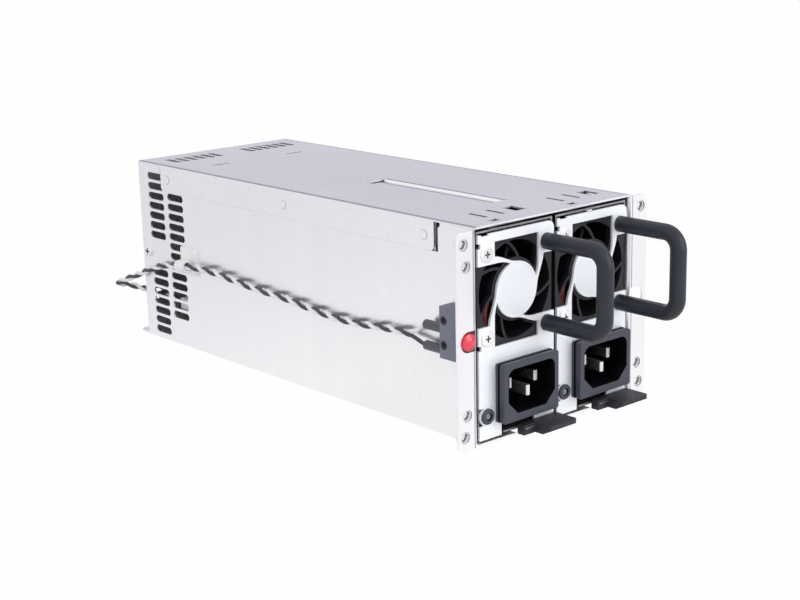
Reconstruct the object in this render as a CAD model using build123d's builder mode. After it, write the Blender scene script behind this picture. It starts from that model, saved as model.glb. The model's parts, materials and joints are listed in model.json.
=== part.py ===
from build123d import *
import os
from math import cos, radians, sin, tan

os.makedirs("parts", exist_ok=True)

# Twin hot-swap computer power supply. Millimetres. X runs across, Y from the front to the rear, Z up.
# The origin is the middle of the cage's underside.

# Cage: a folded tray with mounting ears, a lid and a rear panel
cage_width = 86.4
cage_height = 84.0
cage_depth = 224.0
cage_sheet = 0.8
cage_bend = 1.6
ear_width = 9.5
ear_corner_radius = 2.5
ear_hole_radius = 1.65
ear_sink_radius = 2.3
ear_collar_radius = 2.9
ear_collar_height = 1.2
outer_hole_spacing_x = 98.4
outer_hole_spacing_z = 73.2
inner_hole_spacing_x = 96.0
inner_hole_spacing_z = 56.6
hole_pattern_z = cage_height / 2 - 0.2
rear_lip_depth = 10.0
rear_lip_hole_radius = 1.8
rear_lip_hole_spacing = 64.0

# Lid, with its side flanges let in flush with the tray's sides
flange_height = 12.0
flange_front_inset = 22.0
flange_rear_inset = 18.1
flange_corner_radius = 2.0
flange_end_gap = 2.2
flange_relief_radius = 1.15
flange_relief_drop = 1.5
flange_seam = 0.2
joggle_overlap = 1.0
rivet_z = cage_height - 6.5
rivet_insets = (27.5, 113.8, 200.8)
rivet_radius = 1.5
rivet_head_radius = 2.0
rivet_head_height = 0.35

# Vents
vent_length = 12.4
vent_height = 3.3
vent_pitch = 4.6
vent_column_gap = 3.1
rear_vent_inset = 13.5
upper_vent_top_z = cage_height - 6.0
upper_vent_count = 7
lower_vent_bottom_z = 5.0
lower_vent_count = 7
inner_vent_middle_z = cage_height / 2 + 0.2
inner_vent_count = 13
lid_vent_length = 11.3
lid_vent_width = 3.0
lid_vent_pitch = 4.7
lid_vent_count = 6
lid_vent_inset = 13.9
panel_vent_columns = 2
panel_vent_rows = 7
panel_vent_column_pitch = 26.0
panel_vent_middle_z = cage_height - 24.0

# Slits and guide tongue in the lid
guide_slot_width = 4.3
guide_slot_length = 71.0
guide_slot_front_inset = 29.0
guide_bend = 1.6
guide_relief_width = 5.0
guide_relief_length = 4.6
slit_width = 1.6
slit_length = 9.6
slit_front_inset = 10.6
slit_offsets = (-5.5, 3.6)
window_offset = 13.3
window_width = 5.7
window_length = 8.0
window_front_inset = 11.0
notch_offset = -7.6
notch_width = 4.2
notch_length = 2.8
notch_front_inset = 3.4
rear_slit_offset = -2.6
rear_slit_length = 8.8
rear_slit_width = 1.3
rear_slit_inset = 38.6

# Modules
module_gap = 1.8
module_side_gap = 0.3
module_floor_gap = 0.8
module_top_gap = 1.4
module_sheet = 0.8
module_recess = 0.5
module_depth = cage_depth - 52.5
panel_sheet = 1.0
panel_top_drop = 1.3
panel_corner_radius = 3.0
edge_slot_inset = 1.6
edge_slot_length = 3.9
edge_slot_height = 0.6
edge_notch_offset = 19.4
edge_notch_width = 1.3
edge_notch_height = 2.0
lamp_notch_width = 2.2
lamp_notch_height = 7.0
lamp_ring_radius = 3.7
lid_flange_depth = 5.0

# Fan and its grille
fan_size = 40.0
fan_depth = 28.0
fan_z = cage_height - 27.0
fan_hole_pitch = 32.0
fan_hole_radius = 1.8
fan_bore_radius = 18.9
fan_flange = 3.4
fan_corner_radius = 2.5
fan_gap = 0.2
hub_radius = 10.8
grille_reach = 20.1
grille_left = 11.6
grille_right = 11.8
grille_tip_angle = 17.0
grille_leave_angle = 85.0
grille_arm_height = 14.4
grille_bend_height = 9.5
motor_radius = 12.2
motor_plate = 2.2
strut_count = 7
strut_width = 1.1
strut_start_angle = 79.0
strut_lean = 24.0
strut_bow = 0.8
blade_count = 7
blade_thickness = 1.1
blade_chord = 15.0
blade_tip_gap = 0.5
rotor_gap = 0.8
rotor_depth = 20.0
rotor_wall = 1.2
shaft_radius = 1.5
shaft_play = 0.05
bearing_radius = 3.2

# Front fittings
screw_head_radius = 3.05
screw_head_height = 0.8
screw_radius = 1.6
screw_cross_length = 2.6
screw_cross_width = 0.6
screw_cross_depth = 0.5
handle_diameter = 6.5
handle_reach = 29.5
handle_bend = 6.5
handle_stud_radius = 1.5
inlet_offset_x = 3.3
inlet_z = 18.8
inlet_width = 30.0
inlet_height = 23.3
inlet_corner_radius = 1.0
inlet_proud = 4.6
inlet_groove = 0.5
inlet_groove_width = 1.2
inlet_body_width = 28.4
inlet_body_height = 20.8
inlet_body_depth = 18.0
inlet_mouth_width = 25.4
inlet_mouth_height = 17.8
inlet_mouth_z = 19.2
inlet_mouth_depth = 17.0
inlet_mouth_cut = 5.0
inlet_mouth_radius = 3.4
pin_width = 2.0
pin_height = 4.0
pin_spacing = 14.0
pin_row_offset = 1.9
pin_recess = 4.6
earth_pin_lead = 2.8
pin_tail = 5.0
lamp_offset_x = -16.2
lamp_z = 10.7
lamp_flange_radius = 3.1
lamp_flange = 1.0
lamp_barrel_radius = 2.6
lamp_barrel = 6.0
lamp_lens_radius = 1.5
lamp_play = 0.05

# Latch: a leaf spring with a moulded finger tab
leaf_width = 16.0
leaf_thickness = 0.6
leaf_length = 27.5
leaf_floor_gap = 0.2
leaf_tongue_width = 8.0
leaf_tongue_length = 4.0
tab_left = -0.6
tab_step = 6.0
tab_overhang = 0.3
tab_root_depth = 3.6
tab_reach = 12.0
tab_bottom_z = 0.2
tab_thickness = 3.8
tab_bevel_depth = 3.8
tab_bevel_height = 1.9
tab_gap = 0.6
tab_corner = 0.8
latch_window_left = -8.6
latch_window_right = 9.2
latch_window_top = 6.6
latch_pin_radius = 1.2
latch_pin_play = 0.3
latch_pin_pitch = 8.0
latch_pin_inset = 2.5
latch_pin_head = 1.0
latch_notch_left = -1.4
latch_notch_right = 19.6
latch_notch_depth = 6.0

# Module electronics
board_thickness = 1.6
board_lift = 3.6
board_side_gap = 0.6
board_front_inset = 21.0
sink_front_gap = 10.0
bulk_cap_front_gap = 32.0
core_front_gap = 58.0
small_cap_rear_gap = 22.0
standoff_radius = 2.4
finger_width = 30.0
finger_length = 8.0
sink_length = 96.0
sink_height = cage_height - 32.0
sink_base = 2.4
sink_fin = 4.4
sink_fin_count = 5
sink_wall_gap = 1.1
core_width = 17.0
core_length = 30.0
core_height = 26.0
core_leg = 5.0
winding_play = 0.5
bulk_cap_radius = 8.4
bulk_cap_height = 40.0
small_cap_radius = 3.6
small_cap_height = 16.0
small_cap_pitch = 8.4
fan_lead_diameter = 1.3
fan_lead_offset_x = -13.35
fan_lead_depth = 2.1
fan_lead_play = 0.15
fan_lead_drop = 27.0

# Rear compartment
backplane_gap = 12.0
backplane_thickness = 1.6
backplane_top_z = cage_height - 13.6
backplane_side_gap = 0.5
socket_width = 34.0
socket_height = 7.2
socket_gap = 1.0
socket_play = 0.2
rear_cap_radius = 4.0
rear_cap_length = 14.0
rear_cap_count = 6
rear_cap_pitch = 12.0
rear_cap_z = 50.0
busbar_width = 8.0
busbar_thickness = 2.0
busbar_length = 21.0
busbar_pitch = 12.0
outlet_x = 14.0
outlet_z = 24.0
outlet_width = 34.0
outlet_height = 20.0
outlet_corner_radius = 6.0
grommet_wall = 2.0
grommet_lip = 1.4
grommet_lip_height = 1.2
panel_tab_depth = 8.2
panel_tab_low_z = 36.0
panel_tab_high_z = 48.0
panel_screw_inset = 5.0
panel_screw_z = 41.8
panel_screw_radius = 1.4
panel_screw_head_radius = 2.5
panel_screw_head_height = 1.3
panel_cross_length = 3.0
panel_cross_width = 0.7
panel_cross_depth = 0.8

# Alarm switch, its button and its lead
switch_thickness = 6.4
switch_depth = 9.6
switch_length = 20.0
switch_front_inset = 3.8
switch_z = 43.8
switch_hole_pitch = 9.5
switch_hole_inset = 2.9
switch_hole_radius = 1.2
switch_screw_play = 0.05
switch_screw_recess = 0.8
switch_screw_slot = 0.4
switch_bore_radius = 1.7
switch_bore_depth = 0.35
switch_corner = 0.4
switch_step_width = 2.2
switch_step_depth = 0.6
button_x_offset = 3.8
button_z = 41.7
button_radius = 3.25
button_proud = 1.6
button_dome = 1.1
button_rear_gap = 1.4
button_stem_radius = 1.3
button_stem_depth = 2.0
button_stem_play = 0.05
button_travel = 1.0
ear_slot_radius = 4.0
ear_slot_inner = 0.2
terminal_width = 2.8
terminal_thickness = 0.5
terminal_length = 4.6
terminal_heights = (44.2, 36.0)
sleeve_radius = 1.85
sleeve_wall = 0.4
sleeve_length = 10.4
lead_pair_diameter = 3.2
lead_wire_diameter = 1.6
lead_hole_radius = 2.6
clip_base = 1.0
clip_corner = 0.8
clip_width = 13.0
clip_low_z = 36.0
clip_high_z = 48.4
clip_rear_inset = 45.5
clip_strap_width = 7.0
clip_strap_wall = 0.9
clip_play = 0.15
clip_strap_start = 0.45
lead_plug_size = 5.0
lead_plug_corner = 0.5

# Places that follow from the sizes
front_y = -cage_depth / 2
rear_y = cage_depth / 2
side_x = cage_width / 2
inner_side_x = side_x - cage_sheet
lid_under_z = cage_height - cage_sheet
flange_bottom_z = cage_height - flange_height
flange_front_y = front_y + flange_front_inset
flange_rear_y = rear_y - flange_rear_inset
module_width = inner_side_x - cage_sheet - module_side_gap - module_gap / 2
module_half = module_width / 2
module_x = module_gap / 2 + module_half
module_bottom_z = cage_sheet + module_floor_gap
module_top_z = lid_under_z - module_top_gap
panel_y = front_y + module_recess
case_front_y = panel_y + panel_sheet
case_rear_y = panel_y + module_depth
case_top_z = module_top_z - module_sheet
case_floor_z = module_bottom_z + module_sheet
fan_front_y = case_front_y + fan_gap
fan_rear_y = fan_front_y + fan_depth
backplane_y = case_rear_y + backplane_gap
backplane_rear_y = backplane_y + backplane_thickness
board_z = case_floor_z + board_lift
leaf_z = case_floor_z + leaf_floor_gap
leaf_front_y = panel_y - tab_gap
leaf_rear_y = leaf_front_y + leaf_length
lead_x = -side_x - switch_thickness / 2
clip_front_y = rear_y - clip_rear_inset
sink_offset = module_half - module_sheet - sink_wall_gap - sink_fin - sink_base

# The alarm lead's route, chosen by hand: along the wall, through the clip, round the rear corner and in
lead_points = [
    (-side_x - 2.4, front_y + 33.0, 38.4),
    (-side_x - 2.2, front_y + 47.5, 38.0),
    (-side_x - 2.1, front_y + 66.0, 35.9),
    (-side_x - 2.1, front_y + 88.0, 36.1),
    (-side_x - 2.1, -1.0, 38.2),
    (-side_x - 2.2, rear_y - 90.0, 38.6),
    (-side_x - 2.4, rear_y - 68.0, 40.4),
    (-side_x - 2.9, rear_y - 52.0, 41.3),
    (-side_x - 2.9, rear_y - 26.0, 39.0),
    (-side_x - 2.4, rear_y - 14.5, 36.2),
    (-side_x - 2.6, rear_y - 3.5, 31.8),
    (-side_x - 3.4, rear_y + 6.0, 28.0),
    (-side_x - 6.2, rear_y + 14.0, 24.6),
    (-side_x - 3.2, rear_y + 19.6, 22.4),
    (-side_x + 2.6, rear_y + 17.8, 21.0),
    (-side_x + 5.4, rear_y + 10.0, 20.0),
    (-side_x + 5.6, rear_y - 2.0, 19.6),
    (-side_x + 5.5, rear_y - 14.0, 19.5),
    (-side_x + 5.5, rear_y - 24.0, 19.4),
]
clip_point = 7
black_tail_points = [
    (lead_x, front_y + 21.5, 36.0),
    (lead_x, front_y + 25.5, 36.1),
    (-side_x - 3.0, front_y + 29.2, 37.2),
    (-side_x - 2.4, front_y + 32.7, 37.6),
]
white_tail_points = [
    (lead_x, front_y + 21.5, 44.2),
    (lead_x, front_y + 25.2, 43.6),
    (-side_x - 2.8, front_y + 29.2, 40.4),
    (-side_x - 2.4, front_y + 32.7, 39.3),
]


def at_y(y):
    """A drawing plane that faces the front, at the given depth. Its own axes are X and Z."""
    return Plane.XZ.offset(-y)


def at_x(x):
    """A drawing plane that faces right. Its own axes are Y and Z."""
    return Plane.YZ.offset(x)


def span_box(low, high, mode=Mode.ADD):
    """A block between two opposite corners."""
    middle = [(a + b) / 2 for a, b in zip(low, high)]
    size = [abs(b - a) for a, b in zip(low, high)]
    with Locations(tuple(middle)):
        Box(*size, mode=mode)


def y_rod(x, z, y_from, y_to, radius, mode=Mode.ADD):
    """A round bar or hole that runs along Y."""
    with Locations(Location((x, (y_from + y_to) / 2, z), (90, 0, 0))):
        Cylinder(radius, abs(y_to - y_from), mode=mode)


def x_rod(y, z, x_from, x_to, radius, mode=Mode.ADD):
    """A round bar or hole that runs along X."""
    with Locations(Location(((x_from + x_to) / 2, y, z), (0, 90, 0))):
        Cylinder(radius, abs(x_to - x_from), mode=mode)


def z_rod(x, y, z_from, z_to, radius, mode=Mode.ADD):
    """A round bar or hole that runs along Z."""
    with Locations((x, y, (z_from + z_to) / 2)):
        Cylinder(radius, abs(z_to - z_from), mode=mode)


def save(piece, name):
    """Names a finished piece and writes it to its own file."""
    piece.part.label = name
    export_step(piece.part, f"parts/{name}.step")


def corner_radii(points, name):
    """The largest arc that fits each corner of a cord's route, printed for the record."""
    route = [Vector(*point) for point in points]
    radii = []
    for before, corner, after in zip(route, route[1:], route[2:]):
        run_in = corner - before
        run_out = after - corner
        turn = run_in.get_angle(run_out)
        radii.append(0.45 * min(run_in.length, run_out.length) / tan(radians(turn / 2)))
    print(name, "radii", [round(radius, 1) for radius in radii])
    return radii


def make_cord(points, diameter, name):
    """A round cord along straight runs joined by tangent arcs."""
    with BuildPart() as cord:
        with BuildLine() as route:
            FilletPolyline(*points, radius=corner_radii(points, name))
        start = Plane(origin=route.line @ 0, z_dir=route.line % 0)
        with BuildSketch(start):
            Circle(diameter / 2)
        sweep(path=route.line)
    print(name, "length", round(sum(edge.length for edge in route.edges()), 1))
    save(cord, name)


# Ear hole centres, as seen from the front
ear_holes = [
    (side * spacing_x / 2, hole_pattern_z + level * spacing_z / 2)
    for spacing_x, spacing_z in (
        (outer_hole_spacing_x, outer_hole_spacing_z),
        (inner_hole_spacing_x, inner_hole_spacing_z),
    )
    for side in (-1, 1)
    for level in (-1, 1)
]
vent_outer_y = rear_y - rear_vent_inset
vent_inner_y = vent_outer_y - vent_length - vent_column_gap
slot_middle_x = side_x + ear_slot_inner + ear_slot_radius - 0.4
rivet_ys = [front_y + inset for inset in rivet_insets]
panel_screw_y = rear_y - panel_screw_inset

# Cage tray
with BuildPart() as cage_tray:
    with BuildSketch(at_y(front_y)) as channel_outline:
        Rectangle(cage_width, lid_under_z, align=(Align.CENTER, Align.MIN))
        fillet(channel_outline.vertices().group_by(Axis.Y)[0], cage_bend)
    extrude(amount=-cage_depth)
    with BuildSketch(at_y(front_y)) as channel_hollow:
        with Locations((0, cage_sheet)):
            Rectangle(2 * inner_side_x, cage_height, align=(Align.CENTER, Align.MIN))
        fillet(channel_hollow.vertices().group_by(Axis.Y)[0], cage_bend - cage_sheet)
    extrude(amount=-cage_depth, mode=Mode.SUBTRACT)
    # The wall steps in behind the lid's flange, with a slot at the front end of the step
    for side in (-1, 1):
        span_box(
            (side * inner_side_x, flange_front_y - flange_end_gap, flange_bottom_z),
            (side * (side_x + 1), flange_rear_y + flange_seam, cage_height),
            mode=Mode.SUBTRACT,
        )
        x_rod(
            flange_front_y - flange_end_gap,
            cage_height - flange_relief_drop,
            side * inner_side_x,
            side * (side_x + 1),
            flange_relief_radius,
            mode=Mode.SUBTRACT,
        )
        span_box(
            (side * inner_side_x, flange_front_y, flange_bottom_z - joggle_overlap),
            (side * (inner_side_x - cage_sheet), flange_rear_y + 2 * cage_sheet, lid_under_z),
        )
    # Ears folded outwards from the front edges
    for side in (-1, 1):
        with BuildSketch(Plane.XY) as ear_section:
            with BuildLine():
                Polyline(
                    (side * inner_side_x, front_y + 2 * cage_bend),
                    (side * inner_side_x, front_y),
                    (side * (side_x + ear_width), front_y),
                    (side * (side_x + ear_width), front_y + cage_sheet),
                    (side * side_x, front_y + cage_sheet),
                    (side * side_x, front_y + 2 * cage_bend),
                    close=True,
                )
            make_face()
            corners = ear_section.vertices()
            outer_bend = corners.sort_by_distance((side * inner_side_x, front_y))[0]
            inner_bend = corners.sort_by_distance((side * side_x, front_y + cage_sheet))[0]
            fillet(outer_bend, cage_bend)
            fillet(inner_bend, cage_bend - cage_sheet)
        extrude(amount=lid_under_z)
        # The tray's square front corner gives way to the bend
        with BuildSketch(Plane.XY):
            with Locations((side * inner_side_x, front_y)):
                Rectangle(2 * cage_bend, 2 * cage_bend)
            with Locations((side * (inner_side_x + cage_bend), front_y + cage_bend)):
                Circle(cage_bend, mode=Mode.SUBTRACT)
                Rectangle(2 * cage_bend, 2 * cage_bend, align=(Align.CENTER, Align.MIN), mode=Mode.SUBTRACT)
        extrude(amount=cage_height, mode=Mode.SUBTRACT)
    ear_edges = cage_tray.edges().filter_by(Axis.Y)
    fillet(ear_edges.group_by(Axis.X)[0] + ear_edges.group_by(Axis.X)[-1], ear_corner_radius)
    # Threaded holes with drawn collars behind the ears
    for hole_x, hole_z in ear_holes:
        collar_end_y = front_y + cage_sheet + ear_collar_height
        y_rod(hole_x, hole_z, front_y + cage_sheet / 2, collar_end_y, ear_collar_radius)
    for hole_x, hole_z in ear_holes:
        with BuildSketch(at_y(front_y)):
            with Locations((hole_x, hole_z)):
                Circle(ear_hole_radius)
        extrude(amount=-(cage_sheet + ear_collar_height), mode=Mode.SUBTRACT)
    with BuildSketch(at_y(front_y)):
        with Locations(*ear_holes):
            Circle(ear_sink_radius)
    extrude(amount=-(ear_sink_radius - ear_hole_radius) / 2, mode=Mode.SUBTRACT)
    # D-shaped slots beside the bends
    with BuildSketch(at_y(front_y)):
        for side in (-1, 1):
            with Locations((side * slot_middle_x, button_z)):
                Circle(ear_slot_radius)
            inner = side_x + ear_slot_inner
            with Locations((side * (inner + slot_middle_x) / 2, button_z)):
                Rectangle(slot_middle_x - inner, 2 * ear_slot_radius)
    extrude(amount=-cage_sheet * 2, mode=Mode.SUBTRACT)
    # Side vents near the rear
    with BuildSketch(at_x(0)):
        for count, middle_y, middle_z in (
            (upper_vent_count, vent_outer_y, upper_vent_top_z - (upper_vent_count - 1) * vent_pitch / 2),
            (lower_vent_count, vent_outer_y, lower_vent_bottom_z + (lower_vent_count - 1) * vent_pitch / 2),
            (inner_vent_count, vent_inner_y, inner_vent_middle_z),
        ):
            with Locations((middle_y, middle_z)):
                with GridLocations(0, vent_pitch, 1, count):
                    SlotOverall(vent_length, vent_height)
    extrude(amount=side_x + 1, both=True, mode=Mode.SUBTRACT)
    # Holes for the rivets and the rear panel's screws
    for hole_y in rivet_ys:
        x_rod(hole_y, rivet_z, -side_x, side_x, rivet_radius, mode=Mode.SUBTRACT)
    x_rod(panel_screw_y, panel_screw_z, -side_x - 1, side_x + 1, panel_screw_radius, mode=Mode.SUBTRACT)
    # Notches in the floor's front edge, one for each latch tab
    for side in (-1, 1):
        span_box(
            (side * module_x + latch_notch_left, front_y - 1, -1),
            (side * module_x + latch_notch_right, front_y + latch_notch_depth, cage_sheet + 1),
            mode=Mode.SUBTRACT,
        )
    # Lip behind the rear panel
    with BuildSketch(Plane.XY) as lip_outline:
        with Locations((0, rear_y)):
            Rectangle(cage_width - 2 * cage_bend, rear_lip_depth, align=(Align.CENTER, Align.MIN))
        fillet(lip_outline.vertices().group_by(Axis.Y)[-1], ear_corner_radius)
        with Locations((0, rear_y + rear_lip_depth / 2)):
            with GridLocations(rear_lip_hole_spacing, 0, 2, 1):
                Circle(rear_lip_hole_radius, mode=Mode.SUBTRACT)
    extrude(amount=cage_sheet)
save(cage_tray, "cage_tray")

# Lid
guide_front_y = front_y + guide_slot_front_inset
guide_rear_y = guide_front_y + guide_slot_length
guide_x = -cage_sheet / 2
with BuildPart() as cage_cover:
    span_box((-side_x, front_y, lid_under_z), (side_x, rear_y, cage_height))
    for side in (-1, 1):
        with BuildSketch(at_x(side * inner_side_x)) as flange_outline:
            with BuildLine():
                Polyline(
                    (flange_front_y, lid_under_z),
                    (flange_front_y, flange_bottom_z),
                    (flange_rear_y, flange_bottom_z),
                    (flange_rear_y, lid_under_z),
                    close=True,
                )
            make_face()
            fillet(flange_outline.vertices().group_by(Axis.Y)[0], flange_corner_radius)
        extrude(amount=side * cage_sheet)
    # Folded top edges
    long_edges = cage_cover.edges().filter_by(Axis.Y).filter_by(lambda edge: edge.length > cage_depth - 1)
    fillet(long_edges.group_by(Axis.Z)[-1], cage_sheet * 0.9)
    with BuildSketch(Plane.XY.offset(lid_under_z)):
        for side in (-1, 1):
            with Locations((side * module_x, rear_y - lid_vent_inset)):
                with GridLocations(lid_vent_pitch, 0, lid_vent_count, 1):
                    SlotOverall(lid_vent_length, lid_vent_width, rotation=90)
            for slit_offset in slit_offsets:
                with Locations((side * module_x + slit_offset, front_y + slit_front_inset)):
                    Rectangle(slit_width, slit_length, align=(Align.CENTER, Align.MIN))
            with Locations((side * module_x + window_offset, front_y + window_front_inset)):
                Rectangle(window_width, window_length, align=(Align.CENTER, Align.MIN))
            with Locations((side * module_x + notch_offset, front_y + notch_front_inset)):
                Rectangle(notch_width, notch_length, align=(Align.CENTER, Align.MIN))
            with Locations((side * module_x + rear_slit_offset, rear_y - rear_slit_inset)):
                Rectangle(rear_slit_length, rear_slit_width)
        # The guide's slot takes in its bend, and a relief at its rear end
        with Locations((guide_x - guide_slot_width, guide_front_y)):
            Rectangle(guide_slot_width + guide_bend, guide_slot_length, align=(Align.MIN, Align.MIN))
        with Locations((guide_x - guide_slot_width, guide_rear_y)):
            Rectangle(guide_relief_width, guide_relief_length, align=(Align.MAX, Align.MAX))
    extrude(amount=cage_sheet, mode=Mode.SUBTRACT)
    # Guide tongue folded down between the modules
    with BuildSketch(at_y(guide_front_y)) as tongue_section:
        with BuildLine():
            Polyline(
                (guide_x, cage_height - guide_slot_width),
                (guide_x, cage_height),
                (guide_x + guide_bend, cage_height),
                (guide_x + guide_bend, lid_under_z),
                (guide_x + cage_sheet, lid_under_z),
                (guide_x + cage_sheet, cage_height - guide_slot_width),
                close=True,
            )
        make_face()
        corners = tongue_section.vertices()
        outer_bend = corners.sort_by_distance((guide_x, cage_height))[0]
        inner_bend = corners.sort_by_distance((guide_x + cage_sheet, lid_under_z))[0]
        fillet(outer_bend, guide_bend)
        fillet(inner_bend, guide_bend - cage_sheet)
    extrude(amount=-guide_slot_length)
    for hole_y in rivet_ys:
        x_rod(hole_y, rivet_z, -side_x - 1, side_x + 1, rivet_radius, mode=Mode.SUBTRACT)
save(cage_cover, "cage_cover")

# Rivets through the flanges and the stepped walls
with BuildPart() as cover_rivets:
    for side in (-1, 1):
        for hole_y in rivet_ys:
            x_rod(hole_y, rivet_z, side * (inner_side_x - cage_sheet), side * side_x, rivet_radius)
            with Locations(Location((side * side_x, hole_y, rivet_z), (0, side * 90, 0))):
                Cone(
                    rivet_head_radius,
                    rivet_head_radius - rivet_head_height,
                    rivet_head_height,
                    align=(Align.CENTER, Align.CENTER, Align.MIN),
                )
save(cover_rivets, "cover_rivets")

# Rear panel, with a vent field, the cable outlet and two side tabs
with BuildPart() as rear_panel:
    span_box((-inner_side_x, rear_y - cage_sheet, cage_sheet), (inner_side_x, rear_y, lid_under_z))
    for side in (-1, 1):
        span_box(
            (side * (inner_side_x - cage_sheet), rear_y - cage_sheet - panel_tab_depth, panel_tab_low_z),
            (side * inner_side_x, rear_y - cage_sheet, panel_tab_high_z),
        )
        span_box(
            (side * (inner_side_x - cage_sheet), rear_y - cage_sheet, lid_under_z),
            (side * side_x, rear_y, flange_bottom_z),
            mode=Mode.SUBTRACT,
        )
    bottom_edges = rear_panel.edges().filter_by(Axis.Y).group_by(Axis.Z)[0]
    fillet(bottom_edges, cage_bend - cage_sheet)
    with BuildSketch(at_y(rear_y)):
        with Locations((outlet_x, panel_vent_middle_z)):
            with GridLocations(panel_vent_column_pitch, vent_pitch, panel_vent_columns, panel_vent_rows):
                SlotOverall(vent_length, vent_height)
        with Locations((outlet_x, outlet_z)):
            RectangleRounded(outlet_width, outlet_height, outlet_corner_radius)
    extrude(amount=-cage_sheet, both=True, mode=Mode.SUBTRACT)
    x_rod(panel_screw_y, panel_screw_z, -side_x, side_x, panel_screw_radius, mode=Mode.SUBTRACT)

# Rubber grommet in the cable outlet
with BuildPart() as cable_grommet:
    with BuildSketch(at_y(rear_y - cage_sheet)):
        with Locations((outlet_x, outlet_z)):
            RectangleRounded(outlet_width, outlet_height, outlet_corner_radius)
    extrude(amount=-cage_sheet)
    for lip_y in (rear_y - cage_sheet - grommet_lip_height, rear_y):
        with BuildSketch(at_y(lip_y)):
            with Locations((outlet_x, outlet_z)):
                RectangleRounded(
                    outlet_width + 2 * grommet_lip,
                    outlet_height + 2 * grommet_lip,
                    outlet_corner_radius + grommet_lip,
                )
        extrude(amount=-grommet_lip_height)
    with BuildSketch(at_y(rear_y - cage_sheet - grommet_lip_height)):
        with Locations((outlet_x, outlet_z)):
            RectangleRounded(
                outlet_width - 2 * grommet_wall,
                outlet_height - 2 * grommet_wall,
                outlet_corner_radius - grommet_wall,
            )
    extrude(amount=-(cage_sheet + 2 * grommet_lip_height), mode=Mode.SUBTRACT)
save(cable_grommet, "cable_grommet")

# Screws that hold the rear panel's tabs
with BuildPart() as panel_screws:
    for side in (-1, 1):
        x_rod(
            panel_screw_y,
            panel_screw_z,
            side * (inner_side_x - cage_sheet - 1),
            side * side_x,
            panel_screw_radius,
        )
        x_rod(
            panel_screw_y,
            panel_screw_z,
            side * side_x,
            side * (side_x + panel_screw_head_height),
            panel_screw_head_radius,
        )
    head_rims = panel_screws.edges().filter_by(GeomType.CIRCLE)
    fillet(head_rims.group_by(Axis.X)[0] + head_rims.group_by(Axis.X)[-1], panel_screw_head_height * 0.45)
    for side in (-1, 1):
        cross_x = side_x + panel_screw_head_height - panel_cross_depth
        for long_y, long_z in (
            (panel_cross_length, panel_cross_width),
            (panel_cross_width, panel_cross_length),
        ):
            span_box(
                (side * cross_x, panel_screw_y - long_y / 2, panel_screw_z - long_z / 2),
                (side * (cross_x + 2), panel_screw_y + long_y / 2, panel_screw_z + long_z / 2),
                mode=Mode.SUBTRACT,
            )
save(panel_screws, "panel_screws")

# Backplane board across the cage, with the parts on it
with BuildPart() as backplane_board:
    board_half = inner_side_x - backplane_side_gap
    span_box((-board_half, backplane_y, cage_sheet), (board_half, backplane_rear_y, backplane_top_z))
    with BuildSketch(at_y(backplane_y)):
        with Locations((0, (rear_cap_z + backplane_top_z) / 2)):
            with GridLocations(module_x, 0, 3, 1):
                SlotOverall(vent_length, vent_height)
    extrude(amount=-backplane_thickness, mode=Mode.SUBTRACT)
save(backplane_board, "backplane_board")

finger_y = case_rear_y + finger_length
socket_front_y = case_rear_y + socket_gap
with BuildPart() as backplane_sockets:
    for side in (-1, 1):
        centre = side * module_x
        board_middle_z = board_z + board_thickness / 2
        span_box(
            (centre - socket_width / 2, socket_front_y, board_middle_z - socket_height / 2),
            (centre + socket_width / 2, backplane_y, board_middle_z + socket_height / 2),
        )
        span_box(
            (centre - finger_width / 2 - socket_play, socket_front_y, board_z - socket_play),
            (centre + finger_width / 2 + socket_play, finger_y + 1, board_z + board_thickness + socket_play),
            mode=Mode.SUBTRACT,
        )
save(backplane_sockets, "backplane_sockets")

with BuildPart() as backplane_capacitors:
    with BuildSketch(at_y(backplane_rear_y)):
        with Locations((0, rear_cap_z)):
            with GridLocations(rear_cap_pitch, 0, rear_cap_count, 1):
                Circle(rear_cap_radius)
    extrude(amount=-rear_cap_length)
    chamfer(backplane_capacitors.edges().group_by(Axis.Y)[-1], rear_cap_radius * 0.15)
save(backplane_capacitors, "backplane_capacitors")

with BuildPart() as output_busbars:
    with BuildSketch(at_y(backplane_rear_y)):
        with Locations((outlet_x, outlet_z)):
            with GridLocations(busbar_pitch, 0, 3, 1):
                Rectangle(busbar_width, busbar_thickness)
    extrude(amount=-busbar_length)
    with BuildSketch(Plane.XY.offset(outlet_z - busbar_thickness)):
        with Locations((outlet_x, backplane_rear_y + busbar_length - busbar_width / 2)):
            with GridLocations(busbar_pitch, 0, 3, 1):
                Circle(busbar_width / 4)
    extrude(amount=2 * busbar_thickness, mode=Mode.SUBTRACT)
save(output_busbars, "output_busbars")

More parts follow.
